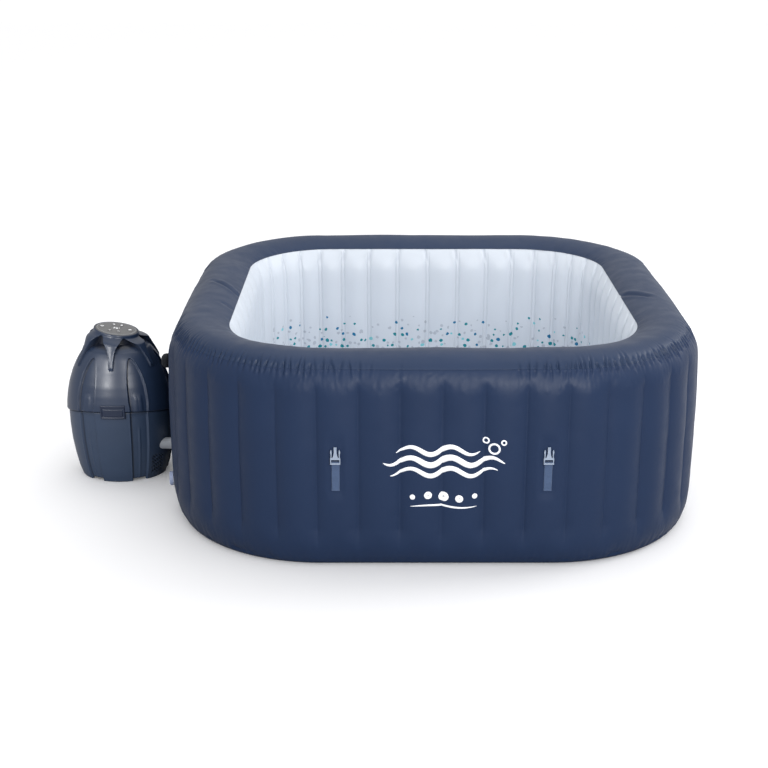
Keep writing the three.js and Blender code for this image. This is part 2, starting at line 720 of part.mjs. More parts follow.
// ---- air side -----------------------------------------------------------
// Blower above the water parts, duct down to the small coupling.
const DUCT_X = 118;
const AIR_PIPE_END_X = COUPLING_X - 26.6;
const blower = cut(
  union([
    post(88, 262, 340, 24),
    post(12, AIR_Z - 8, 268, 12).translate([DUCT_X, 0, 0]),
    rod(9, 110, AIR_PIPE_END_X, 12).translate([0, 0, AIR_Z]),
    rod(12, COUPLING_X - 29.4, AIR_PIPE_END_X, 12).translate([0, 0, AIR_Z]),
    box(60, 130, -12, 12, 262, 292),
  ]),
  [
    post(84, 266, 336, 24),
    post(30, 330, 345, 16),
    post(7, AIR_Z, 285, 8).translate([DUCT_X, 0, 0]),
    rod(6, DUCT_X, COUPLING_X - 20, 8).translate([0, 0, AIR_Z]),
    box(70, 125, -7, 7, 268, 286),
  ],
);
add(pump, "blower_housing", blower, BLACK);

const fan = union([
  post(16, 272, 322, 12),
  post(74, 270, 274, 24),
  ...around("z", 9, box(12, 73, -1.5, 1.5, 273, 318)),
]);
add(pump, "blower_fan", fan, GREY);

// ---- union nuts ---------------------------------------------------------
// Captive on the pump's pipes. near, step and far are distances outwards from the
// wall: the open end, where the bore narrows to the lip, and the closed end.
function nut({ bore, lip, outer, near, step, far }) {
  const body = spinRing(
    [
      [bore, COUPLING_X - near],
      [outer, COUPLING_X - near],
      [outer, COUPLING_X - far + 2],
      [outer - 3, COUPLING_X - far],
      [lip, COUPLING_X - far],
      [lip, COUPLING_X - step],
      [bore, COUPLING_X - step],
    ],
    14,
  );
  const rib = box(
    COUPLING_X - far + 3, COUPLING_X - near - 2, outer - 2, outer + 3, -2.4, 2.4,
  );
  return union([body, ...around("x", 6, rib)]);
}
const waterNut = nut({ bore: 28.2, lip: 22.3, outer: 32.5, near: 9, step: 38.6, far: 44 });
const airNut = nut({ bore: 12.8, lip: 9.6, outer: 16, near: 8, step: 30, far: 33.5 });
add(pump, "union_nut_front", waterNut, GREY, FRONT_PIPE);
add(pump, "union_nut_rear", waterNut, GREY, REAR_PIPE);
add(pump, "air_union_nut", airNut, BLACK, [0, AIR_Y - PUMP_Y, AIR_Z]);

// ---- mains lead and breaker plug ----------------------------------------
// Loosely coiled behind the unit. Centre line, [x, y, z] in the pump's frame.
const LEAD_R = 4.2;
const LEAD = [
  [-70, 141, 42], [-71, 154, 39], [-74, 174, 20], [-80, 196, 7.5], [-104, 214, 5.2],
  [-160, 219, 5.2], [-186, 234, 5.2], [-160, 250, 5.2], [-20, 250, 5.2], [6, 266, 5.2],
  [-20, 282, 5.2], [-180, 282, 5.2], [-206, 298, 5.2], [-180, 314, 5.2], [-60, 314, 5.2],
  [-40, 326, 5.2], [-60, 342, 5.6], [-78, 350, 12], [-92, 352, 18],
];
const leadGeometry = new THREE.ExtrudeGeometry(polygon(6, () => LEAD_R), {
  steps: 60,
  bevelEnabled: false,
  extrudePath: new THREE.CatmullRomCurve3(LEAD.map((p) => new THREE.Vector3(...p))),
});
add(pump, "power_lead", solid(leadGeometry), BLACK);

// Local +X carries on from the lead's end.
const [[beforeX, beforeY], [endX, endY]] = LEAD.slice(-2);
const plugTurn = Math.atan2(endY - beforeY, endX - beforeX);
const plug = group(pump, [endX, endY, 0], [0, 0, plugTurn]);
const plugShape = union([
  box(5, 92, -26, 26, 0.4, 38),
  box(92, 104, -17, 17, 6, 34),
  box(104, 122, -9, -3, 15, 21), // pins
  box(104, 122, 3, 9, 15, 21),
  box(24, 62, -9, 9, 37, 41), // raised block on top
]);
add(plug, "breaker_plug", plugShape, BLACK);

export default tub;
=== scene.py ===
# An inflatable tub with rounded corners, and the pump unit that stands beside it.
# Metres, +Z up. The tub stands on the floor, centred on the origin, with its front towards -Y.
# The pump unit stands to its left (-X) and is drawn in millimetres about its own upright axis.
import json
import math
import bpy
import numpy as np
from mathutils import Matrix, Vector

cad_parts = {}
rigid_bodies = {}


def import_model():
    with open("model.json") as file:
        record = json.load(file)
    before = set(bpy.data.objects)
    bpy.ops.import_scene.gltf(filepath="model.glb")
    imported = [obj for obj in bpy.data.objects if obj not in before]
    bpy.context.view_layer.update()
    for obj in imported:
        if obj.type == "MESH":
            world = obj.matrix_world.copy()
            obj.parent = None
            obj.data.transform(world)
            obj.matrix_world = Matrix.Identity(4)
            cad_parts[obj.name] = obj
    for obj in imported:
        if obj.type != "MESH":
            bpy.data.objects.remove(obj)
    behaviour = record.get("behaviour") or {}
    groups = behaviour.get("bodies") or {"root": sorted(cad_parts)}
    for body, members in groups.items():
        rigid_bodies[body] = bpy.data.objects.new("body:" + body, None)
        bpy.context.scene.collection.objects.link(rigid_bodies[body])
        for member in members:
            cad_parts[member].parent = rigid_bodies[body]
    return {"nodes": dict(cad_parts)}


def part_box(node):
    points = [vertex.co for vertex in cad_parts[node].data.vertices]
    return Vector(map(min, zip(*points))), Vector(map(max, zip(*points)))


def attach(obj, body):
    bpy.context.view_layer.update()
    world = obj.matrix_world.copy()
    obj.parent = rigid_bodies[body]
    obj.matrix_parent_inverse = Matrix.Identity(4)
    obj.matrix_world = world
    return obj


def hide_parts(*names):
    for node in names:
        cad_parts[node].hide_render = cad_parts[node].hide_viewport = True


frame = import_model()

PI = math.pi


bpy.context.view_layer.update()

# Plan of the tub: a square with round corners.
CORNER_R = 0.529              # radius of the corners at zero inset
CORNER_C = 0.371              # x and y of the corner centres
HALF = CORNER_R + CORNER_C
TOP_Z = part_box("top_rim")[1][2]
INNER_REF = 0.224             # inset of the reference curve of the inner wall
JET_REF = 0.2495              # inset of the centre of the air-jet ring

# Outer wall and rim: insets run inwards from the plan.
CROWN_Z, CROWN_H, CROWN_D = 0.578, 0.1168, 0.1016   # quarter ellipse from wall to crown
BELLY = 0.0045                                      # swell of the wall beyond the plan
FOOT_Z, FOOT_IN = 0.141, 0.0334                     # rounding down to the floor
WELD_D, WELD_Z = 0.0265, 0.6568                     # weld between wall and rim
SEAM_D, SEAM_Z = 0.205, 0.662                       # seam between rim and inner wall
WEBS = 48                                           # webs round each wall


# ------------------------------------------------------------------ shaping helpers
def ease(start, end, x):
    """0 at start, 1 at end, smooth between."""
    t = np.clip((x - start) / (end - start), 0, 1)
    return t * t * (3 - 2 * t)


def bell(x, width):
    return np.exp(-(x / width) ** 2)


def round_off(q):
    """Drop of a unit quarter circle at a distance q from its top."""
    return 1 - np.sqrt(np.clip(1 - q ** 2, 0, 1))


def tangents(path):
    t = np.gradient(path, axis=0)
    return t / np.linalg.norm(t, axis=1)[:, None]


def bilinear(grid, i0, i1, j0, j1, a, b):
    return ((grid[i0, j0] * (1 - a) + grid[i1, j0] * a) * (1 - b)
            + (grid[i0, j1] * (1 - a) + grid[i1, j1] * a) * b)


class Noise:
    """Smooth value noise, periodic over 0..1 in its first coordinate."""
    ROWS = 97

    def __init__(self, cells, seed):
        self.cells = cells
        self.grid = np.random.default_rng(seed).uniform(-1, 1, (cells, self.ROWS))

    def __call__(self, share, row=0.0):
        u = (np.asarray(share, float) % 1.0) * self.cells
        v = np.asarray(row, float) % self.ROWS
        i, j = np.floor(u).astype(int), np.floor(v).astype(int)
        a, b = u - i, v - j
        a, b = a * a * (3 - 2 * a), b * b * (3 - 2 * b)
        return bilinear(self.grid, i % self.cells, (i + 1) % self.cells,
                        j % self.ROWS, (j + 1) % self.ROWS, a, b)


# ------------------------------------------------------------------ meshes
def add_mesh(name, points, faces, material, body, slot, replaces=None, uv=None, painted_shade=None):
    """Smooth mesh riding on a body; the last argument fills the point attribute of shade painted
    into recesses.
    """
    points = np.asarray(points, np.float64)
    faces = [tuple(int(i) for i in face) for face in faces]
    # a negative signed volume means the faces point inwards
    fans = np.array([(f[0], f[i], f[i + 1]) for f in faces for i in range(1, len(f) - 1)])
    a, b, c = points[fans.T]
    if np.einsum("ij,ij->i", a, np.cross(b, c)).sum() < 0:
        faces = [face[::-1] for face in faces]
    mesh = bpy.data.meshes.new(name)
    mesh.from_pydata(points.tolist(), [], faces)
    mesh.update()
    mesh.polygons.foreach_set("use_smooth", [True] * len(mesh.polygons))
    if uv is not None:
        layer = mesh.uv_layers.new(name="UVMap")
        corners = np.empty(len(mesh.loops), np.int32)
        mesh.loops.foreach_get("vertex_index", corners)
        layer.data.foreach_set("uv", np.asarray(uv, np.float32)[corners].ravel())
    if painted_shade is not None:
        # point attribute: how much painted shade the material mixes in at each point
        attribute = mesh.attributes.new("cav", "FLOAT", "POINT")
        attribute.data.foreach_set("value", np.asarray(painted_shade, np.float32).ravel())
    obj = bpy.data.objects.new(name, mesh)
    bpy.context.scene.collection.objects.link(obj)
    mesh.materials.append(material)
    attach(obj, body)
    if replaces:
        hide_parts(replaces)
    return obj


def sharpen_rows(obj, columns, rows):
    """Keep the shading crisp along whole rows of a grid mesh."""
    mesh = obj.data
    ends = np.empty(len(mesh.edges) * 2, np.int32)
    mesh.edges.foreach_get("vertices", ends)
    row = ends.reshape(-1, 2) // columns
    sharp = mesh.attributes.get("sharp_edge")
    sharp = sharp or mesh.attributes.new("sharp_edge", "BOOLEAN", "EDGE")
    sharp.data.foreach_set("value", (row[:, 0] == row[:, 1]) & np.isin(row[:, 0], rows))
    mesh.update()


def grid_faces(m, n, wrap_m=True, wrap_n=True):
    """Quads over m rows of n points, closed round either way."""
    i = np.arange(m if wrap_m else m - 1)[:, None]
    j = np.arange(n if wrap_n else n - 1)[None, :]
    a = i * n + j
    b = i * n + (j + 1) % n
    c = ((i + 1) % m) * n + (j + 1) % n
    d = ((i + 1) % m) * n + j
    return np.stack([a, b, c, d], -1).reshape(-1, 4)


def open_edges(faces):
    """Edges that only one face uses, in the direction that face runs."""
    edges = dict.fromkeys((f[i], f[(i + 1) % len(f)]) for f in faces for i in range(len(f)))
    return [(a, b) for a, b in edges if (b, a) not in edges]


# Flat outlines: each returns 2D points and faces.
def ribbon(path, half_width, across=5):
    path = np.asarray(path, float)
    along = tangents(path)
    normal = np.stack([-along[:, 1], along[:, 0]], -1)
    offset = np.asarray(half_width)[:, None] * np.linspace(-1, 1, across)[None, :]
    points = path[:, None, :] + normal[:, None, :] * offset[..., None]
    return points.reshape(-1, 2), grid_faces(len(path), across, False, False).tolist()


def flat_ring(x, z, radius, half_width, around=40, across=4):
    a = np.linspace(0, 2 * PI, around, endpoint=False)[:, None]
    r = np.linspace(radius - half_width, radius + half_width, across)[None, :]
    points = np.stack([x + r * np.cos(a), z + r * np.sin(a)], -1)
    return points.reshape(-1, 2), grid_faces(around, across, True, False).tolist()


def flat_disc(x, z, radius, around=28, across=5):
    points, faces = flat_ring(x, z, radius * 0.55, radius * 0.45, around, across)
    for j in range(around):
        faces.append([((j + 1) % around) * across, j * across, len(points)])
    return np.vstack([points, [[x, z]]]), faces


# ------------------------------------------------------------------ shader nodes
# socket numbers of nodes whose socket names repeat
FROM_MIN, FROM_MAX, TO_MIN, TO_MAX = 1, 2, 3, 4
COLOUR_A, COLOUR_B, COLOUR_OUT = 6, 7, 2
FLOAT_A, FLOAT_B = 2, 3


def wire(tree, node, inputs):
    """Link sockets, set plain values, leave None at its default."""
    for key, value in inputs.items():
        if isinstance(value, bpy.types.NodeSocket):
            tree.links.new(value, node.inputs[key])
        elif value is not None:
            node.inputs[key].default_value = value


def add_node(tree, kind, inputs=None, **settings):
    node = tree.nodes.new("ShaderNode" + kind)
    for key, value in settings.items():
        setattr(node, key, value)
    wire(tree, node, inputs or {})
    return node


def add_math(tree, operation, *values):
    return add_node(tree, "Math", dict(enumerate(values)), operation=operation).outputs[0]


def add_noise(tree, coords, scale, detail=None):
    return add_node(tree, "TexNoise", {"Vector": coords, "Scale": scale, "Detail": detail})


def mix_colour(tree, factor, a, b):
    inputs = {0: factor, COLOUR_A: a, COLOUR_B: b}
    return add_node(tree, "Mix", inputs, data_type="RGBA").outputs[COLOUR_OUT]


def map_range(tree, value, to, source=(0.0, 1.0)):
    return add_node(tree, "MapRange", {0: value, FROM_MIN: source[0], FROM_MAX: source[1],
                                       TO_MIN: to[0], TO_MAX: to[1]}).outputs[0]


def add_bump(tree, height, strength, distance, normal=None):
    return add_node(tree, "Bump", {"Height": height, "Strength": strength,
                                   "Distance": distance, "Normal": normal}).outputs[0]


# ------------------------------------------------------------------ materials
def srgb(*channels):
    """Linear colour from sRGB channels of 0 to 255."""
    def linear(c):
        c /= 255
        return c / 12.92 if c <= 0.04045 else ((c + 0.055) / 1.055) ** 2.4
    return tuple(linear(c) for c in channels)


def weave_height(tree, coords, scale):
    """Three crossed sets of fine bands, added up."""
    bands = [add_node(tree, "TexWave", {"Vector": coords, "Scale": scale},
                      bands_direction=axis).outputs["Fac"] for axis in "XZY"]
    return add_math(tree, "ADD", add_math(tree, "ADD", bands[0], bands[1]), bands[2])


def finish(name, colour, rough, vary, grain, spec=0.4, rough_spread=0.12, weave=0.0, lump=0.0,
           coat=0.0, sheen=0.0, painted_shade=None, glow=None):
    """vary: colour change, patch scale. grain: bump strength, scale, depth in metres.
    weave: scale of the woven bump. lump: strength of the broad bump.
    painted_shade: colour of the shade painted into recesses through the point attribute. glow:
    emitted colour."""
    material = bpy.data.materials.new(name)
    material.use_nodes = True
    tree = material.node_tree
    coords = add_node(tree, "TexCoord").outputs["Object"]
    change, patch = vary
    dark, light = ((*[c * k for c in colour], 1) for k in (1 - change, 1 + change))
    base = mix_colour(tree, add_noise(tree, coords, patch, 5).outputs["Fac"], dark, light)
    if painted_shade:
        # painted shade: the colour darkens towards the shade colour where the point attribute is
        # set
        painted_shade_mask = add_node(tree, "Attribute", attribute_name="cav").outputs["Fac"]
        base = mix_colour(tree, painted_shade_mask, base, (*painted_shade, 1))
    roughness = map_range(tree, add_noise(tree, coords, patch * 4, 4).outputs["Fac"],
                          to=(max(0.02, rough - rough_spread), min(1, rough + rough_spread)))
    strength, scale, depth = grain
    height = add_noise(tree, coords, scale, 2).outputs["Fac"]
    if weave:
        height = add_math(tree, "MULTIPLY_ADD", weave_height(tree, coords, weave), 0.6, height)
    normal = add_bump(tree, height, strength, depth)
    if lump:
        broad = add_noise(tree, coords, scale=28, detail=3).outputs["Fac"]
        normal = add_bump(tree, broad, lump, distance=0.003, normal=normal)
    wire(tree, tree.nodes["Principled BSDF"], {
        "Base Color": base, "Roughness": roughness, "Normal": normal,
        "Specular IOR Level": spec, "Coat Weight": coat, "Coat Roughness": 0.18,
        "Sheen Weight": sheen, "Emission Color": glow and (*glow, 1),
        "Emission Strength": glow and 1.0})
    return material


NAVY = (0.0100, 0.0232, 0.0618)
# colour of the shade painted into the pump casing's flutes, slots and pockets
PAINTED_SHADE_COLOUR = (0.003, 0.004, 0.008)
WALL_PVC = finish("pvc_navy_wall", NAVY, rough=0.46, vary=(0.09, 5),
                  grain=(0.22, 1400, 0.00012), spec=0.22, weave=420, lump=0.08)
RIM_PVC = finish("pvc_navy_rim", (0.0106, 0.0245, 0.0622), rough=0.44, vary=(0.09, 6),
                 grain=(0.22, 1400, 0.00012), spec=0.26, weave=420, lump=0.10)
BASE_PVC = finish("pvc_navy_base", NAVY, rough=0.6, vary=(0.15, 7),
                  grain=(0.3, 900, 0.0002), spec=0.2, weave=380, lump=0.2)
WHITE_PVC = finish("pvc_white", (0.64, 0.69, 0.78), rough=0.42, vary=(0.03, 6),
                   grain=(0.15, 900, 0.00015), spec=0.35, lump=0.05)
SCRIM = finish("scrim_web", (0.55, 0.57, 0.62), rough=0.8, vary=(0.1, 20),
               grain=(0.5, 800, 0.0003), weave=700)
CASE = finish("case_navy", (0.0080, 0.0160, 0.0365), rough=0.36, vary=(0.08, 14),
              grain=(0.16, 1700, 0.00010), spec=0.42, rough_spread=0.04, painted_shade=PAINTED_SHADE_COLOUR)
CASE_BASE = finish("case_navy_base", (0.0148, 0.0260, 0.0505), rough=0.42, vary=(0.08, 14),
                   grain=(0.2, 1700, 0.00012), spec=0.36, rough_spread=0.05, painted_shade=PAINTED_SHADE_COLOUR)
GREY = finish("moulded_grey", srgb(160, 163, 168), rough=0.42, vary=(0.05, 30),
              grain=(0.2, 1500, 0.0001))
PORT = finish("port_grey", srgb(168, 173, 180), rough=0.40, vary=(0.05, 30),
              grain=(0.2, 1500, 0.0001))
PANEL = finish("panel_taupe", srgb(97, 97, 98), rough=0.55, vary=(0.06, 40),
               grain=(0.35, 2600, 0.0001), spec=0.35)
KEY = finish("key_taupe", srgb(96, 96, 97), rough=0.5, vary=(0.05, 60),
             grain=(0.3, 2600, 0.0001))
PRINT = finish("ink_white", srgb(242, 244, 247), rough=0.5, vary=(0.02, 40),
               grain=(0.15, 1500, 0.00005), spec=0.3)
# the white icons and figures glow a little: a painted glow on printed marks
ICON = finish("icon_white", srgb(235, 236, 238), rough=0.45, vary=(0.02, 60),
              grain=(0.1, 1500, 0.00005), glow=(0.25, 0.25, 0.26))
BLACK = finish("moulded_black", (0.012, 0.013, 0.016), rough=0.42, vary=(0.15, 25),
               grain=(0.2, 1200, 0.00012))
RUBBER = finish("rubber_black", (0.010, 0.010, 0.011), rough=0.62, vary=(0.15, 30),
                grain=(0.4, 900, 0.0002), spec=0.3)
WEBBING = finish("webbing_blue", srgb(69, 86, 115), rough=0.85, vary=(0.14, 60),
                 grain=(0.9, 1500, 0.0004), spec=0.15, weave=1300, sheen=0.25)
THREAD = finish("thread_pale", srgb(74, 89, 116), rough=0.8, vary=(0.1, 60),
                grain=(0.4, 1500, 0.0002), spec=0.2)
BUCKLE = finish("buckle_pale", srgb(144, 156, 174), rough=0.36, vary=(0.05, 60),
                grain=(0.15, 1800, 0.0001), spec=0.5)
DRAIN = finish("drain_cap", srgb(112, 122, 146), rough=0.45, vary=(0.06, 60),
               grain=(0.15, 1800, 0.0001), spec=0.4)
PAPER = finish("pleated_paper", srgb(236, 236, 230), rough=0.9, vary=(0.05, 40),
               grain=(0.6, 900, 0.0003), spec=0.1)
BOARD = finish("board_green", srgb(25, 95, 55), rough=0.45, vary=(0.2, 90),
               grain=(0.3, 1200, 0.0002))
GLASS = finish("display_smoked", (0.012, 0.013, 0.015), rough=0.12, vary=(0.1, 40),
               grain=(0.05, 1500, 0.00005), spec=0.6, coat=0.5)
WHITE = finish("moulded_white", srgb(222, 228, 234), rough=0.4, vary=(0.04, 30),
               grain=(0.15, 1400, 0.0001))
VALVE = finish("valve_navy", (0.006, 0.008, 0.013), rough=0.55, vary=(0.1, 30),
               grain=(0.2, 1400, 0.0001), spec=0.2)
BADGE = finish("badge_navy", (0.0052, 0.0100, 0.0250), rough=0.42, vary=(0.08, 20),
               grain=(0.2, 1500, 0.0001), spec=0.35)

# start of each band of the pebble ramp, and its colour
PEBBLE_COLOURS = [(0.0, srgb(172, 178, 188)), (0.40, srgb(6, 126, 138)),
                  (0.64, srgb(14, 106, 148)), (0.72, srgb(122, 190, 198)),
                  (0.82, srgb(170, 176, 186))]


def pebble_liner(name, colour, top_size, wall):
    """White liner printed with scattered pebbles; on the wall they thin out upwards."""
    material = finish(name, colour, rough=0.42, vary=(0.03, 6), grain=(0.15, 900, 0.00015),
                      spec=0.35, lump=0.05)
    tree = material.node_tree
    surface = tree.nodes["Principled BSDF"]
    ground = surface.inputs["Base Color"].links[0].from_socket
    uv = add_node(tree, "UVMap", uv_map="UVMap").outputs[0]
    # a small wobble makes the round cells irregular
    wobble = add_noise(tree, uv, scale=70).outputs["Color"]
    place = add_node(tree, "VectorMath", {0: wobble, 1: (0.010, 0.010, 0), 2: uv},
                     operation="MULTIPLY_ADD").outputs[0]
    cells = add_node(tree, "TexVoronoi", voronoi_dimensions="2D", feature="F1")
    wire(tree, cells, {"Scale": 41.0, "Randomness": 0.85, "Vector": place})
    draw = add_node(tree, "SeparateColor", {0: cells.outputs["Color"]})
    keep_draw, colour_draw, size_draw = draw.outputs
    size = map_range(tree, size_draw, to=(0.17, 0.35))
    height = add_node(tree, "SeparateXYZ", {0: uv}).outputs[1]
    shrink = map_range(tree, height, to=(1.0, top_size), source=(0.27, 0.42))
    size = add_math(tree, "MULTIPLY", size, shrink)
    mask = add_math(tree, "LESS_THAN", cells.outputs["Distance"], size)
    if wall:
        density = map_range(tree, height, to=(0.84, 0.0), source=(0.270, 0.398))
    else:
        density = map_range(tree, None, to=(0.82, 0.82))
    keep = add_math(tree, "LESS_THAN", keep_draw, density)
    printed = add_math(tree, "MULTIPLY", mask, keep)
    ramp = add_node(tree, "ValToRGB", {0: colour_draw})
    ramp.color_ramp.interpolation = "CONSTANT"
    stops = ramp.color_ramp.elements
    while len(stops) < len(PEBBLE_COLOURS):
        stops.new(0.5)
    for stop, (position, shade) in zip(stops, PEBBLE_COLOURS):
        stop.position = position
        stop.color = (*shade, 1)
    wire(tree, surface, {"Base Color": mix_colour(tree, printed, ground, ramp.outputs[0])})
    return material


PEBBLE_WALL = pebble_liner("liner_pebble_wall", (0.562, 0.600, 0.655), top_size=0.55, wall=True)
# the floor liner is coloured darker than the wall liner to dim the light it bounces up the walls:
# painted shade on the same white liner
PEBBLE_FLOOR = pebble_liner("liner_pebble_floor", (0.50, 0.56, 0.66), top_size=1.0, wall=False)


# ------------------------------------------------------------------ tub plan
# A place round the plan is a share (0..1) of a reference curve, counter-clockwise from the
# front centre, with an inset from the plan.
def side_length(inset):
    """A quarter of the curve at an inset: one straight and one corner."""
    return 2 * CORNER_C + PI / 2 * (CORNER_R - inset)


OUTER_LENGTH = 4 * side_length(0)
INNER_LENGTH = 4 * side_length(INNER_REF)


def plan_point(share, inset, ref):
    """x, y and outward normal at an inset, by share of the curve inset by ref."""
    share, inset = np.broadcast_arrays(np.asarray(share, float), np.asarray(inset, float))
    side = side_length(ref)
    run = ((share % 1.0) * 4 * side + CORNER_C) % (4 * side)
    quarter = np.floor(run / side).astype(int)
    along = run - quarter * side
    radius = CORNER_R - inset
    turn = np.clip((along - 2 * CORNER_C) / (CORNER_R - ref), 0, PI / 2)
    nx, ny = np.sin(turn), -np.cos(turn)
    x = np.where(along <= 2 * CORNER_C, -CORNER_C + along, CORNER_C + radius * nx)
    y = -CORNER_C + radius * ny
    c, s = np.cos(quarter * PI / 2).round(), np.sin(quarter * PI / 2).round()
    return x * c - y * s, x * s + y * c, nx * c - ny * s, nx * s + ny * c


def plan_xyz(share, inset, z, ref=0.0):
    x, y, _, _ = plan_point(share, inset, ref)
    return np.stack(np.broadcast_arrays(x, y, z), -1)


def reshare(share, ref, new_ref):
    """The same place on the plan, as a share of another reference curve."""
    run = (np.asarray(share, float) % 1.0) * 4 * side_length(ref) + CORNER_C
    quarter = np.floor(run / side_length(ref))
    along = run - quarter * side_length(ref)
    scale = (CORNER_R - new_ref) / (CORNER_R - ref)
    straight = 2 * CORNER_C
    along = np.where(along <= straight, along, straight + (along - straight) * scale)
    side = side_length(new_ref)
    return (quarter * side + along - CORNER_C) / (4 * side)


def cornerness(share, ref=0.0, reach=0.16):
    """1 in the corner arcs, fading to 0 a little way along the straights."""
    side = side_length(ref)
    along = (share * 4 * side + CORNER_C) % side
    into = np.minimum(along, np.abs(along - 2 * CORNER_C)) * (along <= 2 * CORNER_C)
    return 1 - ease(0, reach, into)


def round_trip(share, centre):
    """Signed distance along the outer plan from a share."""
    return ((share - centre + 0.5) % 1.0 - 0.5) * OUTER_LENGTH


# ------------------------------------------------------------------ webs
OUTER_PITCH = OUTER_LENGTH / WEBS
OUTER_PHASE = 0.014 / OUTER_PITCH        # first web, in pitches from the front centre
INNER_PITCH = INNER_LENGTH / WEBS
INNER_SHIFT = 0.013 / INNER_LENGTH       # shift of the inner webs, as a share
SPREAD = 0.24                            # how much wider they stand along the straights


def pillow_rise(dist, pitch, strip):
    """0 on a web's weld strip, 1 at the crown of the pillow between two webs."""
    return 1 - (1 - np.clip((dist - strip) / (pitch / 2 - strip), 0, 1)) ** 2


def outer_web(share, strip):
    """Rise of the pillow and distance from the nearest web."""
    phase = (share * WEBS - OUTER_PHASE) % 1.0
    dist = np.minimum(phase, 1 - phase) * OUTER_PITCH
    return pillow_rise(dist, OUTER_PITCH, strip), dist


def inner_web_share(q):
    """Share of the inner curve where the web at fraction q of all of them stands."""
    return q + SPREAD * np.sin(8 * PI * q) / (8 * PI) - INNER_SHIFT


def inner_web(share, strip):
    """Rise of the pillow, distance and signed distance from the nearest web."""
    target = np.asarray(share, float) + INNER_SHIFT
    q = target
    for _ in range(12):
        q = target - SPREAD * np.sin(8 * PI * q) / (8 * PI)
    pitch = INNER_PITCH * (1 + SPREAD * np.cos(8 * PI * q))
    near = (q * WEBS + 0.5) % 1.0 - 0.5
    dist = np.abs(near) * pitch
    return pillow_rise(dist, pitch, strip), dist, near * pitch


# ------------------------------------------------------------------ creases in the sheets
web_noise = Noise(WEBS, seed=3)
fine_noise = Noise(236, seed=11)
finer_noise = Noise(330, seed=12)
length_noise = Noise(90, seed=13)
low_noise = Noise(34, seed=14)
mid_noise = Noise(120, seed=15)
DIMPLE = 0.0056        # how far the corners draw in along the weld


def gather_list():
    """Creases across the rim's weld, deeper and closer together round the corners.
    Each is share, depth, width, length above, length below, lean."""
    rng = np.random.default_rng(21)
    gathers = []
    share = 0.0
    while share < 1.0:
        corner = cornerness(share, 0.0, 0.26)
        if rng.uniform() < 0.30 + 0.70 * corner:
            gathers.append((share, (0.0014 + 0.0070 * corner) * rng.uniform(0.5, 1.15),
                            rng.uniform(0.0031, 0.0050), rng.uniform(0.016, 0.034),
                            rng.uniform(0.010, 0.022), rng.uniform(-0.22, 0.22)))
        share += rng.uniform(0.014, 0.026) / OUTER_LENGTH * (1 + 1.6 * (1 - corner))
    return gathers


GATHERS = gather_list()


def gather(share, dist, above):
    """Depth of the gathers at a distance from the weld, on the rim above it or the wall below."""
    share, dist = np.broadcast_arrays(np.asarray(share, float), np.asarray(dist, float))
    depth = np.zeros(share.shape)
    near = dist < 0.13
    if not near.any():
        return depth
    share, dist = share[near], dist[near]
    total = np.zeros(share.shape)
    for centre, deep, width, up, down, lean in GATHERS:
        offset = round_trip(share, centre)
        m = np.abs(offset) < 0.045
        offset = offset[m] - lean * dist[m] * (-1 if above else 1)
        fade = bell(dist[m], up if above else down) * (1 - 0.25 * bell(dist[m], 0.003))
        total[m] += deep * fade * (bell(offset, width)
                                   - 0.42 * bell(offset - 2.3 * width, 1.2 * width))
    depth[near] = total
    return depth


def wrinkle(share, dist, amount, row):
    """Fine random gathers that fade away from a seam; row picks the pattern."""
    length = 0.022 + 0.012 * length_noise(share, 3.0 + row)
    fade = amount * np.exp(-(dist / length) ** 1.4) * ease(0.0, 0.004, dist)
    f = fine_noise(share, 1.0 + 8 * dist) + 0.6 * finer_noise(share, 5.0 + 10 * dist)
    return fade * (-np.maximum(0, f - 0.05) + 0.45 * np.maximum(0, -f))


# ------------------------------------------------------------------ outer wall
# distances of the two straps along each side: front, right, rear, left
STRAP_PLACES = ((-0.319, 0.346), (-0.341, 0.341), (-0.341, 0.341), (-0.341, 0.341))
SEATS = [(k / 4 + x / OUTER_LENGTH) % 1.0 for k, pair in enumerate(STRAP_PLACES) for x in pair]

COLUMNS_PER_WEB = 28
SHEET_COLUMNS = WEBS // 4 * COLUMNS_PER_WEB      # steps along a quarter of the wall
SHEET_Z = np.array([
    0.0012, 0.012, 0.028, 0.048, 0.070, 0.092, 0.112, 0.130, 0.150, 0.175, 0.205, 0.240,
    0.280, 0.320, 0.360, 0.400, 0.435, 0.465, 0.495, 0.520, 0.540, 0.556, 0.570, 0.582,
    0.594, 0.606, 0.617, 0.627, 0.636, 0.644, 0.651, WELD_Z - 0.0006])
FRAMES = 17
CLOTH = dict(
    quality=5, mass=0.0008, air_damping=1.0, tension_stiffness=30, compression_stiffness=30,
    shear_stiffness=8, bending_stiffness=0.001, tension_damping=0.2, compression_damping=0.2,
    shear_damping=0.2, bending_damping=0.05, vertex_group_mass="hold", pin_stiffness=1,
    use_pressure=True, uniform_pressure_force=45, pressure_factor=1)


def wall_inset(z):
    """Inset of the plain outer wall, without pillows."""
    z = np.asarray(z, float)
    top = CROWN_D * round_off((z - CROWN_Z) / CROWN_H)
    middle = -BELLY * ease(CROWN_Z, 0.40, z)
    foot = -BELLY + FOOT_IN * round_off((FOOT_Z - z) / FOOT_Z)
    return np.where(z >= CROWN_Z, top, np.where(z >= FOOT_Z, middle, foot))


def strap_seat(share, z):
    """1 where a strap lies on the wall."""
    seat = np.zeros(np.broadcast(share, z).shape)
    for centre in SEATS:
        seat = np.maximum(seat, 1 - ease(0.018, 0.038, np.abs(round_trip(share, centre))))
    return seat * ease(0.232, 0.262, z) * (1 - ease(0.425, 0.460, z))


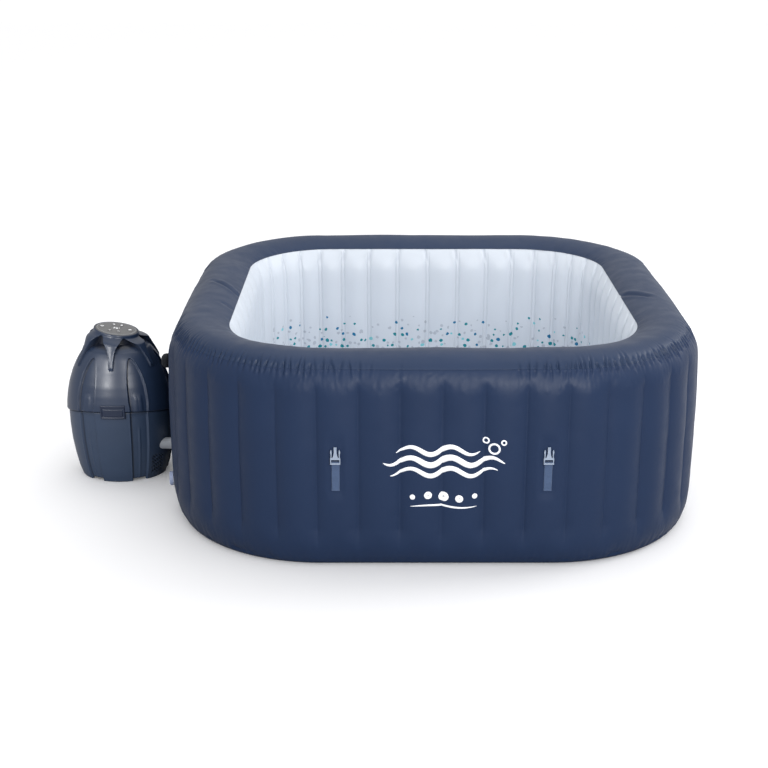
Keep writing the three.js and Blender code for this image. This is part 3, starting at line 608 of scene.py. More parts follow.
def plain_pillows(share, z, strip, swell):
    """Smooth pillows: drawn in at the webs, swelling out between them."""
    rise, _ = outer_web(share, strip)
    fade = ease(0.055, 0.135, z) * (1 - ease(0.575, 0.640, z))
    return (0.0105 * (1 - rise) - swell * rise) * fade


def held_points(shape):
    """The sheet is held along its border and along its webs."""
    hold = np.zeros(shape, bool)
    hold[[0, -1]] = True
    hold[:, [0, -1]] = True
    hold[(SHEET_Z > 0.125) & (SHEET_Z < 0.600), ::COLUMNS_PER_WEB] = True
    return hold


def inflate(share, z):
    """Cloth under air pressure: a quarter of the wall's sheet, held along webs and welds.
    Its rest shape is the straight band it is cut from, so it fills out between the webs and
    puckers at their ends. Returns how far each point lies inside the plain wall."""
    base = wall_inset(z)
    start = base + plain_pillows(share, z, strip=0.002, swell=0.0005)
    seed = np.random.default_rng(8).uniform(-1, 1, start.shape)
    seed[:, 1:-1] = (seed[:, :-2] + 2 * seed[:, 1:-1] + seed[:, 2:]) / 4
    start[1:-1] += 0.0016 * seed[1:-1]
    x, y, nx, ny = plan_point(share, start, 0.0)
    placed = np.stack([x, y, z], -1)
    # the band as cut: upright, slightly too long, as tall as the wall's profile is long
    profile = wall_inset(SHEET_Z)
    height = np.r_[0, np.cumsum(np.hypot(np.diff(profile), np.diff(SHEET_Z)))]
    cut = plan_xyz(share, -BELLY, height[:, None]) * (1.026, 1.026, 1)
    mesh = bpy.data.meshes.new("wall_sheet")
    faces = grid_faces(*share.shape, False, False)
    mesh.from_pydata(placed.reshape(-1, 3).tolist(), [], faces.tolist())
    sheet = bpy.data.objects.new("wall_sheet", mesh)
    scene = bpy.context.scene
    scene.collection.objects.link(sheet)
    sheet.shape_key_add(name="Basis")
    rest = sheet.shape_key_add(name="cut")
    rest.data.foreach_set("co", cut.reshape(-1).astype(np.float32))
    rest.value = 0.0
    held = np.nonzero(held_points(share.shape).ravel())[0]
    sheet.vertex_groups.new(name="hold").add([int(i) for i in held], 1.0, "REPLACE")
    air = sheet.modifiers.new("air", "CLOTH")
    for key, value in CLOTH.items():
        setattr(air.settings, key, value)
    air.settings.rest_shape_key = rest
    air.settings.effector_weights.gravity = 0
    air.collision_settings.use_collision = False
    air.collision_settings.use_self_collision = False
    air.point_cache.frame_start = 1
    air.point_cache.frame_end = FRAMES
    for number in range(1, FRAMES + 1):
        scene.frame_set(number)
    result = sheet.evaluated_get(bpy.context.evaluated_depsgraph_get())
    points = np.empty(placed.size, np.float32)
    result.data.vertices.foreach_get("co", points)
    bpy.data.objects.remove(sheet)
    bpy.data.meshes.remove(mesh)
    scene.frame_set(1)
    shift = points.reshape(placed.shape).astype(float) - placed
    return start - (shift[..., 0] * nx + shift[..., 1] * ny) - base


def pillow_field():
    """Inset of the pillows over a quarter of the wall, cubic between the sheet's rows."""
    columns = (np.arange(SHEET_COLUMNS + 1) / COLUMNS_PER_WEB + OUTER_PHASE) / WEBS
    share, z = np.meshgrid(columns, SHEET_Z)
    f = inflate(share, z)
    fine_z = np.linspace(SHEET_Z[0], SHEET_Z[-1], 420)
    slope = np.gradient(f, SHEET_Z, axis=0)
    k = np.clip(np.searchsorted(SHEET_Z, fine_z) - 1, 0, len(SHEET_Z) - 2)
    h = (SHEET_Z[k + 1] - SHEET_Z[k])[:, None]
    t = (fine_z - SHEET_Z[k])[:, None] / h
    field = ((2 * t ** 3 - 3 * t ** 2 + 1) * f[k] + (t ** 3 - 2 * t ** 2 + t) * h * slope[k]
             + (3 * t ** 2 - 2 * t ** 3) * f[k + 1] + (t ** 3 - t ** 2) * h * slope[k + 1])
    return fine_z, field


FIELD_Z, FIELD = pillow_field()


def pillow(share, z):
    share, z = np.broadcast_arrays(np.asarray(share, float), np.asarray(z, float))
    column = ((share * WEBS - OUTER_PHASE) % (WEBS // 4)) * COLUMNS_PER_WEB
    i = np.clip(np.floor(column + 1e-7).astype(int), 0, SHEET_COLUMNS - 1)
    height = np.clip((z - FIELD_Z[0]) / (FIELD_Z[-1] - FIELD_Z[0]), 0, 1)
    row = height * (len(FIELD_Z) - 1)
    j = np.clip(np.floor(row).astype(int), 0, len(FIELD_Z) - 2)
    return bilinear(FIELD.T, i, i + 1, j, j + 1, np.clip(column - i, 0, 1), row - j)


def wall_face(share, z):
    """Inset of the outer wall's visible face."""
    fade = ease(0.085, 0.135, z) * (1 - ease(0.585, 0.630, z))
    corner = cornerness(share)
    top = np.maximum(0, WELD_Z - z)
    low = np.maximum(0, z - 0.012)
    _, dist = outer_web(share, 0.003)
    d = wall_inset(z)
    d = d + pillow(share, z) * (1 + 0.15 * web_noise(share)) * (1 - 0.16 * corner)
    # grooves along the webs
    d = d + 0.0015 * bell(dist, 0.0045) * fade * (1 - 0.4 * corner)
    # gathers and dimples under the weld, wrinkles over the foot
    d = d + gather(share, top, above=False)
    d = d + DIMPLE * cornerness(share, 0.0, 0.30) * bell(top, 0.046)
    d = d - (0.0052 * wrinkle(share + 0.37, low, 0.10 + 0.90 * corner, 9)
             * ease(0.002, 0.02, z))
    # a fine groove just below the weld
    d = d + 0.0007 * bell(top - 0.002, 0.0022) * (1 - 0.85 * corner)
    # slack
    d = d + 0.0007 * mid_noise(share, z * 5 + 2) * fade
    d = d + 0.0010 * low_noise(share, z * 6) * ease(0.0, 0.1, z) * ease(0.0, 0.04, top)
    return d + strap_seat(share, z) * np.maximum(0, -0.0047 - d)


def ring_skin(name, face, rows, shares, ref, back, material, slot, uv_length=1):
    """A closed skin round the tub: its face from face(share, z), then rows of a plain back."""
    share, z = np.meshgrid(shares, rows)
    behind = np.stack([plan_xyz(shares, inset, height, ref) for inset, height in back])
    points = np.concatenate([plan_xyz(share, face(share, z), z, ref), behind])
    across = np.broadcast_to(shares * uv_length, points.shape[:2])
    uv = np.stack([across, points[..., 2]], -1).reshape(-1, 2)
    return add_mesh(name, points.reshape(-1, 3), grid_faces(*points.shape[:2]), material,
                    "tub", slot, replaces=slot, uv=uv)


def outer_shares():
    """Columns of the outer wall and rim, closer together round the corners."""
    shares = []
    for k in range(WEBS):
        start = (k + OUTER_PHASE) / WEBS
        count = int(round(24 + 19 * float(cornerness(start + 0.5 / WEBS, 0.0, 0.30))))
        shares.extend(start + np.arange(count) / count / WEBS)
    return np.array(shares)


OUTER_SHARES = outer_shares()
OUTER_ROWS = np.concatenate([
    np.linspace(0.0012, 0.02, 5), np.linspace(0.026, 0.14, 19), np.linspace(0.150, 0.58, 34),
    np.linspace(0.586, 0.634, 10), np.linspace(0.638, WELD_Z - 0.0006, 8)])
# back of the outer skin, top to bottom: inset, z
OUTER_BACK = [(0.030, 0.652), (0.022, 0.62), (0.013, 0.50), (0.012, 0.30), (0.013, 0.16),
              (0.022, 0.07), (0.036, 0.0035)]
outer_skin = ring_skin("outer_skin", wall_face, OUTER_ROWS, OUTER_SHARES, 0.0, OUTER_BACK,
                       WALL_PVC, "outer_wall")
sharpen_rows(outer_skin, len(OUTER_SHARES), [0, len(OUTER_ROWS) - 1])

# ------------------------------------------------------------------ rim
# long folds across the rim: start, end, depth, width
CREASES = [((-0.800, 0.058), (-0.690, -0.062), 0.0062, 0.009),
           ((0.690, -0.032), (0.790, -0.180), 0.0058, 0.009),
           ((0.010, 0.700), (0.012, 0.655), 0.003, 0.006),
           ((0.108, 0.690), (0.100, 0.650), 0.003, 0.006),
           ((-0.742, -0.20), (-0.700, -0.24), 0.0025, 0.010),
           ((0.30, -0.70), (0.34, -0.735), 0.002, 0.010)]
# lip of the rim along the weld, then its back: inset, z
RIM_LIP = [(WELD_D + 0.004, WELD_Z - 0.0004), (WELD_D - 0.0004, WELD_Z - 0.0006),
           (WELD_D - 0.0008, WELD_Z + 0.0002), (WELD_D - 0.0001, WELD_Z + 0.0007)]
RIM_BACK = [(SEAM_D + 0.0015, SEAM_Z - 0.0006), (SEAM_D - 0.003, SEAM_Z - 0.004),
            (0.160, 0.668), (0.100, 0.676), (0.050, 0.662)]


def rim_profile():
    """Inset and z from the outer weld over the crown to the inner seam."""
    start = math.asin((WELD_Z - CROWN_Z) / CROWN_H)
    profile = [(CROWN_D * (1 - math.cos(t)), CROWN_Z + CROWN_H * math.sin(t))
               for t in np.linspace(start, PI / 2, 26)]
    for q in np.linspace(0, 1, 24)[1:]:
        inset = CROWN_D + (SEAM_D - CROWN_D) * q
        profile.append((inset, CROWN_Z + CROWN_H - 0.084 * round_off((inset - CROWN_D) / 0.130)))
    profile = np.array(profile)
    profile[:, 1] += TOP_Z - profile[:, 1].max()
    return profile


def crease_relief(x, y, start, end, depth, width):
    """A fold along a line on the plan, with a low ridge beside it."""
    run_x, run_y = end[0] - start[0], end[1] - start[1]
    t = ((x - start[0]) * run_x + (y - start[1]) * run_y) / (run_x ** 2 + run_y ** 2)
    t = np.clip(t, 0, 1)
    dist = np.hypot(x - start[0] - t * run_x, y - start[1] - t * run_y)
    ends = np.minimum(1, ease(0, 0.25, t) + 0.25) * np.minimum(1, ease(1, 0.75, t) + 0.1)
    return ends * depth * (-bell(dist, width) + 0.5 * bell(dist - 2.2 * width, 1.2 * width))


def rim_relief(share, run, far):
    """Outward relief of the rim; run is measured from the weld, far from the seam."""
    relief = -gather(share, run, above=True)
    relief -= DIMPLE * cornerness(share, 0.0, 0.30) * bell(run, 0.022)
    relief += 0.0024 * wrinkle(share + 0.5, far, 0.25 + 0.5 * cornerness(share), 33)
    rise, _, _ = inner_web(reshare(share, 0.0, INNER_REF), 0.004)
    relief -= 0.0012 * (1 - rise) * np.exp(-far / 0.02)
    relief += 0.0022 * low_noise(share, run * 7 + 3) * ease(0, 0.05, run) * ease(0, 0.05, far)
    relief += 0.0008 * mid_noise(share, run * 9 + 8) * ease(0, 0.03, run) * ease(0, 0.03, far)
    return relief


def build_rim():
    profile = rim_profile()
    length = np.r_[0, np.cumsum(np.hypot(*np.diff(profile, axis=0).T))]
    tangent = tangents(profile)
    shares = OUTER_SHARES
    share, run = np.meshgrid(shares, length)
    relief = rim_relief(share, run, length[-1] - run)
    x, y, _, _ = plan_point(share, profile[:, :1], 0.0)
    for crease in CREASES:
        relief += crease_relief(x, y, *crease)
    # by the weld the sheet moves straight in, with the wall below it
    flat = ease(0.050, 0.010, run)
    inset = profile[:, :1] + relief * (-tangent[:, 1:] * (1 - flat) - flat)
    z = profile[:, 1:] + relief * tangent[:, :1] * (1 - flat)
    sink = gather(shares, 0.0, above=True) + DIMPLE * cornerness(shares, 0.0, 0.30) - 0.0003
    tuck = 0.0006 * cornerness(shares, 0.0, 0.22)
    lip = [plan_xyz(shares, d + sink + tuck * (d < WELD_D), height) for d, height in RIM_LIP]
    back = [plan_xyz(shares, d, height) for d, height in RIM_BACK]
    points = np.concatenate([lip, plan_xyz(share, inset, z)[1:], back])
    rim = add_mesh("rim_skin", points.reshape(-1, 3), grid_faces(*points.shape[:2]), RIM_PVC,
                   "tub", "top_rim", replaces="top_rim")
    sharpen_rows(rim, len(shares), [0, 1])


build_rim()

# ------------------------------------------------------------------ inner wall
# columns beside an inner web, in millimetres from it
BESIDE_WEB = np.array([0, 3.5, 5.6, 6.8, 8.2, 11, 16, 23]) / 1000 / INNER_LENGTH
INNER_ROWS = np.concatenate([
    np.linspace(0.0045, 0.06, 9), np.linspace(0.075, 0.56, 32), np.linspace(0.570, 0.640, 18),
    np.linspace(0.644, SEAM_Z - 0.0008, 7)])
# back of the inner skin, top to bottom: inset, z
INNER_BACK = [(0.198, 0.657), (0.206, 0.640), (0.214, 0.60), (0.217, 0.40), (0.217, 0.15),
              (0.214, 0.004)]


def inner_face(share, z):
    """Inset of the inner wall's visible face."""
    rise, dist, beside = inner_web(share, 0.0068)
    fade = 0.30 + 0.70 * ease(0.01, 0.06, z)
    below = ease(SEAM_Z + 0.002, 0.575, z)
    top = np.maximum(0, SEAM_Z - z)
    q = np.clip((SEAM_Z - z) / 0.17, 0, 1)
    d = SEAM_D + 0.027 * (1 - (1 - q) ** 3.4) + 0.0085 * rise * fade * below
    # the weld strip's two fine edges
    d = d - 0.0024 * bell(dist - 0.0066, 0.0012) * fade * ease(SEAM_Z, 0.635, z)
    # a short hooked pucker where each web meets the rim
    hook = beside - 0.010 * ease(0.600, 0.658, z) * np.where((share % 1.0) < 0.5, 1, -1)
    d = d - 0.0046 * bell(hook, 0.0062) * ease(0.585, 0.630, z) * ease(0.6625, 0.652, z)
    d = d + (0.0030 * bell(hook - 0.012, 0.008) * ease(0.590, 0.632, z)
             * ease(0.6625, 0.650, z))
    amount = 0.30 + 0.6 * cornerness(share, INNER_REF, 0.10)
    d = d + 0.0030 * wrinkle(share + 0.21, top, amount, 40)
    d = d + 0.0012 * low_noise(share, z * 7 + 11) * fade * below
    return d + 0.0005 * mid_noise(share, z * 9)


def inner_shares():
    shares = []
    for k in range(WEBS):
        start, end = inner_web_share(k / WEBS), inner_web_share((k + 1) / WEBS)
        shares.extend(start + BESIDE_WEB)
        shares.extend(np.linspace(start + BESIDE_WEB[-1], end - BESIDE_WEB[-1], 9)[1:-1])
        shares.extend(end - BESIDE_WEB[:0:-1])
    return np.array(shares)


ring_skin("inner_skin", inner_face, INNER_ROWS, inner_shares(), INNER_REF, INNER_BACK,
          PEBBLE_WALL, "inner_wall", uv_length=INNER_LENGTH)


# ------------------------------------------------------------------ floor and base
def build_slab(name, node, material, lift, relief, edge_rise):
    """A flat sheet over the plan: lift raises its top, relief waves it."""
    low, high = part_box(node)
    inset = HALF - high[0] + 0.0006
    top_z, bottom_z = high[2] + lift, low[2]
    columns, rings = 240, 44
    x, y, _, _ = plan_point(np.arange(columns) / columns, inset, inset)
    k = (np.linspace(1, 0.012, rings) ** 0.9)[:, None]
    x, y = k * x, k * y
    edge = (1 - k) * 0.65
    waves = (np.sin(x * 29) * np.sin(y * 29) * 0.5
             + low_noise(np.arctan2(y, x) / (2 * PI), k * 6))
    z = top_z + relief * waves * ease(0, 0.06, edge) * ease(0, 0.2, k)
    z = z + edge_rise * bell(edge - 0.012, 0.008)
    top = np.stack([x, y, z], -1).reshape(-1, 3)
    bottom = np.stack([x, y, np.full_like(x, bottom_z)], -1).reshape(-1, 3)
    n = len(top)
    points = np.concatenate([top, bottom, [[0, 0, top_z], [0, 0, bottom_z]]])
    sheet = grid_faces(rings, columns, False, True)
    faces = sheet.tolist() + (sheet[:, ::-1] + n).tolist()
    last = (rings - 1) * columns
    for j in range(columns):
        q = (j + 1) % columns
        faces.append((j, n + j, n + q, q))
        faces.append((last + j, last + q, 2 * n))
        faces.append((n + last + q, n + last + j, 2 * n + 1))
    add_mesh(name, points, faces, material, "tub", node, replaces=node, uv=points[:, :2])


build_slab("floor_skin", "floor_liner", PEBBLE_FLOOR, lift=0.0012, relief=0.0011,
           edge_rise=0.002)
build_slab("base_skin", "base_sheet", BASE_PVC, lift=-0.0003, relief=0.0, edge_rise=0.0)

# ------------------------------------------------------------------ air-jet ring
EYELETS = 120
# section of an eyelet: radius, height
EYELET_SECTION = [(0.0030, -0.002), (0.0030, 0.0010), (0.0019, 0.0014), (0.0013, 0.0006),
                  (0.0013, -0.002)]


def build_jet_tube():
    """A welded tube round the floor's edge, pinched at every web."""
    columns, around = WEBS * 14, 20
    share = np.arange(columns) / columns - INNER_SHIFT
    rise, _, _ = inner_web(share, 0.004)
    a = np.linspace(0, 2 * PI, around, endpoint=False)[:, None]
    inset = JET_REF - 0.0155 * (0.90 + 0.10 * rise) * np.cos(a)
    z = np.maximum(0.0245 + 0.0175 * (0.82 + 0.18 * rise) * np.sin(a), 0.0072)
    add_mesh("air_jet_skin", plan_xyz(share, inset, z, JET_REF).reshape(-1, 3),
             grid_faces(around, columns), WHITE_PVC, "tub", "air_jet_ring",
             replaces="air_jet_ring")


def build_eyelets():
    """Small eyelets along the tube, leaning towards the middle of the tub."""
    points, faces = [], []
    for i in range(EYELETS):
        x, y, nx, ny = plan_point((i + 0.5) / EYELETS, JET_REF + 0.006, JET_REF)
        centre = np.array([x, y, 0.0400])
        axis = np.array([-nx * 0.5, -ny * 0.5, 0.866])
        u = np.array([-ny, nx, 0.0])
        v = np.cross(axis, u)
        faces += (grid_faces(len(EYELET_SECTION), 8) + len(points)).tolist()
        for radius, height in EYELET_SECTION:
            for q in range(8):
                t = 2 * PI * q / 8
                rim = radius * (math.cos(t) * u + math.sin(t) * v)
                points.append(centre + rim + height * axis)
    add_mesh("air_jet_eyelets", np.array(points), faces, GREY, "tub", "air_jet_ring")


build_jet_tube()
build_eyelets()

# ------------------------------------------------------------------ waves and bubbles printed
PRINT_X = 0.020      # centre of the printed mark
PRINT_UP = 0.0009    # how far the print stands off the front wall
# waves: z, left end, right end, half width
WAVES = ((0.330, -0.168, 0.168, 0.0080), (0.366, -0.190, 0.190, 0.0100),
         (0.402, -0.150, 0.112, 0.0080))
# bubbles: x, z, radius, half width
BUBBLES = ((0.176, 0.408, 0.0160, 0.0030), (0.150, 0.434, 0.0085, 0.0024),
           (0.205, 0.430, 0.0070, 0.0022))
DOT_RADII = (0.0085, 0.0125, 0.0160, 0.0125, 0.0085)
DOT_PITCH = 0.049


def add_print(name, points, faces):
    """Wrap a flat outline, drawn in x and z, onto the front wall."""
    x, z = np.asarray(points, float).T
    y = wall_face(x / OUTER_LENGTH, z) - HALF
    n = len(x)
    wrapped = np.concatenate([np.stack([x, y - PRINT_UP, z], -1),
                              np.stack([x, y + 0.0006, z], -1)])
    skin = [tuple(f) for f in faces] + [tuple(n + i for i in f[::-1]) for f in faces]
    skin += [(b, a, n + a, n + b) for a, b in open_edges(faces)]
    add_mesh("print_" + name, wrapped, skin, PRINT, "tub", "outer_wall")


for i, (wave_z, left, right, half) in enumerate(WAVES, 1):
    x = np.linspace(PRINT_X + left, PRINT_X + right, 120)
    q = (x - x[0]) / (x[-1] - x[0])
    z = wave_z + 0.0125 * np.sin((x - PRINT_X) / 0.126 * 2 * PI + 0.4)
    taper = np.sin(PI * np.clip(q, 0.003, 0.997)) ** 0.5
    add_print("wave_%d" % i, *ribbon(np.stack([x, z], -1), half * taper))
for i, bubble in enumerate(BUBBLES, 1):
    add_print("bubble_%d" % i, *flat_ring(*bubble))
for i, radius in enumerate(DOT_RADII):
    add_print("dot_%d" % (i + 1), *flat_disc(PRINT_X + (i - 2) * DOT_PITCH,
                                             0.246 + 0.006 * math.sin(i * 1.7), radius))
x = np.linspace(PRINT_X - 0.105, PRINT_X + 0.105, 70)
q = (x - x[0]) / (x[-1] - x[0])
add_print("underline", *ribbon(np.stack([x, 0.214 + 0.004 * np.sin(q * 2 * PI)], -1),
                               0.0032 * np.sin(PI * np.clip(q, 0.004, 0.996)) ** 0.5, 4))

# ------------------------------------------------------------------ cover straps
STRAP_Z = 0.268                    # foot of the straps
STRAP_HALF = 0.0125                # half width of the webbing
STRAP_THICK = 0.00065              # half thickness
PIN_OUT, PIN_Z, PIN_R = 0.0066, 0.096, 0.0031       # loop at the top, from the foot
# run of the webbing up to its loop: out from the wall, up from the foot
STRAP_RUN = [(0.0014, -0.001), (0.0016, 0.010), (0.0017, 0.030), (0.0019, 0.055),
             (0.0022, 0.075), (0.0028, 0.086), (0.0036, 0.0905)]
# two straps to each side, side by side round the tub
STRAPS = ("front_left", "front_right", "right_front", "right_rear", "rear_right", "rear_left",
          "left_rear", "left_front")


def webbing(number):
    """Flat band with thin edges, in the strap's own frame: along the wall, out, up."""
    turns = [math.radians(-118 + i * 318 / 16) for i in range(17)]
    path = np.array(STRAP_RUN + [(PIN_OUT + PIN_R * math.cos(a), PIN_Z + PIN_R * math.sin(a))
                                 for a in turns])
    rows = 70
    steps = np.linspace(0, 1, rows)
    path = np.stack([np.interp(steps, np.linspace(0, 1, len(path)), column)
                     for column in path.T], -1)
    along = tangents(path)
    w = np.linspace(-1, 1, 15)
    across = np.r_[w, w[::-1]] * STRAP_HALF
    edge = STRAP_THICK * (1 - 0.55 * np.abs(w) ** 6)
    thick = np.r_[edge, -edge[::-1]]
    i = np.arange(rows)[:, None]
    bow = np.where(i < 40, 0.6 * 0.0004 * np.sin(i * 0.6 + number), 0)
    sway = 0.0012 * np.sin(PI * i / rows) * math.sin(number * 2.1 + 1)
    lift = thick + bow * (1 - (across / STRAP_HALF) ** 2)
    points = np.stack([across + sway, path[:, :1] + along[:, 1:] * lift,
                       path[:, 1:] - along[:, :1] * lift], -1).reshape(-1, 3)
    k = len(across)
    caps = [list(range(k))[::-1], list(range((rows - 1) * k, rows * k))]
    return points, grid_faces(rows, k, False, True).tolist() + caps


def add_box(points, faces, x0, x1, out0, out1, z0, z1, r=0.0005):
    """A box with its upright corners and outer edges cut by r."""
    first = len(points)
    section = np.array([(x0, z0 + r), (x0 + r, z0), (x1 - r, z0), (x1, z0 + r),
                        (x1, z1 - r), (x1 - r, z1), (x0 + r, z1), (x0, z1 - r)])
    offset = section - ((x0 + x1) / 2, (z0 + z1) / 2)
    for out, cut in ((out0, 0), (out1 - r, 0), (out1, r)):
        ring = section - np.copysign(np.minimum(cut, np.abs(offset)), offset)
        points.extend((x, out, z) for x, z in ring)
    faces.extend((grid_faces(3, 8, False, True) + first).tolist())
    faces.append([first + j for j in range(8)][::-1])
    faces.append([first + 16 + j for j in range(8)])


def hem():
    """Folded hem at the foot of a strap, and a box of stitches above it."""
    points, faces = [], []
    # short enough to clear the wall when the strap folds down
    add_box(points, faces, -0.0128, 0.0128, 0.0006, 0.0030, -0.0012, 0.0026)
    stitches = [(-0.0102 + i * 0.0034, z, 0.0012, 0.0003) for z in (0.006, 0.022)
                for i in range(7)]
    stitches += [(x, 0.0085 + i * 0.0036, 0.0003, 0.0012) for x in (-0.0106, 0.0106)
                 for i in range(4)]
    for x, z, half_x, half_z in stitches:
        add_box(points, faces, x - half_x, x + half_x, 0.0016, 0.0027,
                z - half_z, z + half_z, 0.0001)
    return points, faces


def build_strap(number, side):
    body = "strap_" + side
    low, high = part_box(body)
    turn = number // 2 * PI / 2
    c, s = round(math.cos(turn)), round(math.sin(turn))
    centre = (low[0] + high[0]) / 2 * c + (low[1] + high[1]) / 2 * s

    def placed(points):
        along, out, up = np.asarray(points, float).T
        x, y = along + centre, -(HALF + BELLY + out)
        return np.stack([x * c - y * s, x * s + y * c, up + STRAP_Z], -1)

    points, faces = webbing(number)
    add_mesh("webbing_" + side, placed(points), faces, WEBBING, body, "webbing", replaces=body)
    points, faces = hem()
    add_mesh("hem_" + side, placed(points), faces, THREAD, body, "webbing")


for number, side in enumerate(STRAPS):
    build_strap(number, side)

# ------------------------------------------------------------------ pump unit, in millimetres
fan_low, fan_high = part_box("blower_fan")
PUMP_X, PUMP_Y = (fan_low[0] + fan_high[0]) / 2, (fan_low[1] + fan_high[1]) / 2
SLOPE = 0.236          # tilt of the casing's joint towards the front
FLATTEN = 0.85         # depth of the casing against its width
JOINT_Z, LID_Z, LID_TOP = 243.4, 245.0, 512
# outlines of the casing: z, then radius
BASE_Z, BASE_R = [0, 28, 80, 135, 190, JOINT_Z], [157, 167, 178, 186, 189.5, 190]
DOME_Z = [LID_Z, 275, 315, 358, 404, 440, 470, 492, 503, 509, LID_TOP]
DOME_R = [197, 195.5, 190, 181, 166, 149, 130, 112, 99, 88, 74]
PUMP_COLUMNS = 600
DEG = np.arange(PUMP_COLUMNS) * 360 / PUMP_COLUMNS - 180
# angle from the nearest of the six upright flutes
FLUTE = (DEG + 30 + 1.6) % 60 - 30
FLUTE_OFF = np.abs(FLUTE)


def smoothed(radii):
    return np.convolve(np.pad(radii, 6, mode="edge"), np.ones(13) / 13, "valid")


def base_radius(z):
    fine = np.linspace(-20, 263, 160)
    return np.interp(z, fine, smoothed(np.interp(fine, BASE_Z, BASE_R)))


def dome_radius(z):
    """The dome is smoothed up to its shoulder and keeps its corners above."""
    fine = np.linspace(225, 512, 190)
    raw = np.interp(fine, DOME_Z, DOME_R)
    q = np.clip((fine - 485) / 15, 0, 1)
    return np.interp(z, fine, smoothed(raw) * (1 - q) + raw * q)


def flatten(z):
    t = np.clip((540 - z) / 110, 0, 3)
    return 1 - (1 - FLATTEN) * 0.5 * (t + 1 - np.sqrt((t - 1) ** 2 + 0.03))


def shear(z):
    q = (430 - z) / 185
    return np.where(z < 245, np.clip((z - 40) / 205, 0, None),
                    0.5 * (q + np.sqrt(q * q + 0.006)))


def on_pump(r, z):
    """Points in metres from radius and height in millimetres, for every column."""
    t = np.radians(DEG)
    y = r * np.sin(t) * flatten(z)
    return np.stack([PUMP_X + r * np.cos(t) / 1000, PUMP_Y + y / 1000,
                     (z - SLOPE * y * shear(z)) / 1000], -1)


def channel_shade(inside, edge):
    """Painted shadow along one flank of each flute."""
    return inside * bell(edge + 3, 3.0) * (FLUTE < 0)


def closed_shell(name, outside, inside, material, slot, painted_shade):
    points = np.concatenate([outside, inside])
    # the inside of the shell gets a light coat of painted shade
    painted_shade = np.concatenate([painted_shade, np.full(inside.shape[:2], 0.3)])
    add_mesh(name, points.reshape(-1, 3), grid_faces(*points.shape[:2]), material, "pump_unit",
             slot, replaces=slot, painted_shade=np.clip(painted_shade, 0, 1))


def build_top_casing():
    z = np.concatenate([np.linspace(LID_Z, 247.5, 3), np.linspace(250, 440, 84),
                        np.linspace(442, LID_TOP, 32)])[:, None]
    # flutes narrow to a point towards the top
    half = 10.6 * np.sqrt(np.clip(1 - np.clip((z - 335) / (468 - 335), 0, 1) ** 2.3, 0, 1))
    half = half * (1 - 0.10 * ease(300, LID_Z, z))
    edge = (FLUTE_OFF - half) * 3.1
    inside = ease(1.6, -1.6, edge) * (z < 468)
    ridge = bell(edge - 3.2, 2.2) * (z < 470)
    depth = 7.5 * ease(474, 462, z) * (0.75 + 0.25 * ease(LID_Z, 330, z))
    r = dome_radius(z) - depth * inside + 1.3 * ridge
    # small raised tongue at the foot of each flute
    r += 3.2 * np.exp(-((FLUTE_OFF - 2.0) / 3.0) ** 4) * ease(330, 296, z) * inside
    r -= 2.6 * ease(486, 488.5, z)       # step round the shoulder
    r -= 1.6 * ease(249, LID_Z, z)       # rolled lower edge
    # painted shade: shadow down one flank of each flute, and over the dome's top under the head
    shade = 0.75 * channel_shade(inside, edge) + 0.9 * ease(492, 505, z)
    # inside of the shell: z, radius
    z_in, r_in = np.array([(500, 92), (470, 122), (402, 156), (315, 180), (246.0, 186)]).T
    closed_shell("casing_top", on_pump(r, z), on_pump(r_in[:, None], z_in[:, None]), CASE,
                 "pump_top_shell", shade)


def louvres(z):
    """1 in the slots low on the right of the pump's front, in a patch with soft edges."""
    patch = (ease(-46.5, -45, DEG) * ease(-26.5, -28, DEG)
             * ease(20, 24, z) * ease(90, 86, z))
    arc = DEG * 3.0
    slots = ((np.sin((arc * 0.8 + z) * 2 * PI / 11.0) > -0.05)
             & (np.abs(((z - 0.35 * arc) % 17.0) - 8.5) < 6.3))
    return patch * slots


def build_base_casing():
    q = np.concatenate([np.linspace(0, 0.06, 6), np.linspace(0.075, 0.93, 84),
                        np.linspace(0.94, 1, 5)])[:, None]
    gap = 9.5 * ease(9.3, 8.5, FLUTE_OFF)      # opening under each flute
    z = gap + (JOINT_Z - gap) * q
    edge = (FLUTE_OFF - 10.0) * 3.0
    inside = ease(1.3, -1.3, edge)
    slots = louvres(z)
    r = base_radius(z) - 5.5 * inside * ease(243, 232, z) - 2.0 * inside
    r += 0.9 * bell(edge - 2.6, 1.8)
    r -= 1.4 * ease(239, JOINT_Z, z)
    r -= 1.2 * ease(3, 0, z)
    # inner rib of each channel
    r += 2.2 * np.exp(-(FLUTE_OFF / 1.3) ** 4) * inside * ease(200, 170, z)
    r -= 4.2 * slots
    # painted shade: shadow down one flank of each channel, in the louvre slots and just under the
    # joint
    shade = 0.70 * channel_shade(inside, edge) + 0.95 * slots + 0.5 * ease(236, JOINT_Z, z)
    # inside of the shell: z, radius
    z_in, r_in = np.array([(242, 182), (135, 178), (60, 164), (1.0, 151.5)]).T[..., None]
    z_in = np.where(z_in < 5, z_in + gap, z_in)
    closed_shell("casing_base", on_pump(r, z), on_pump(r_in, z_in), CASE_BASE,
                 "pump_base_shell", shade)


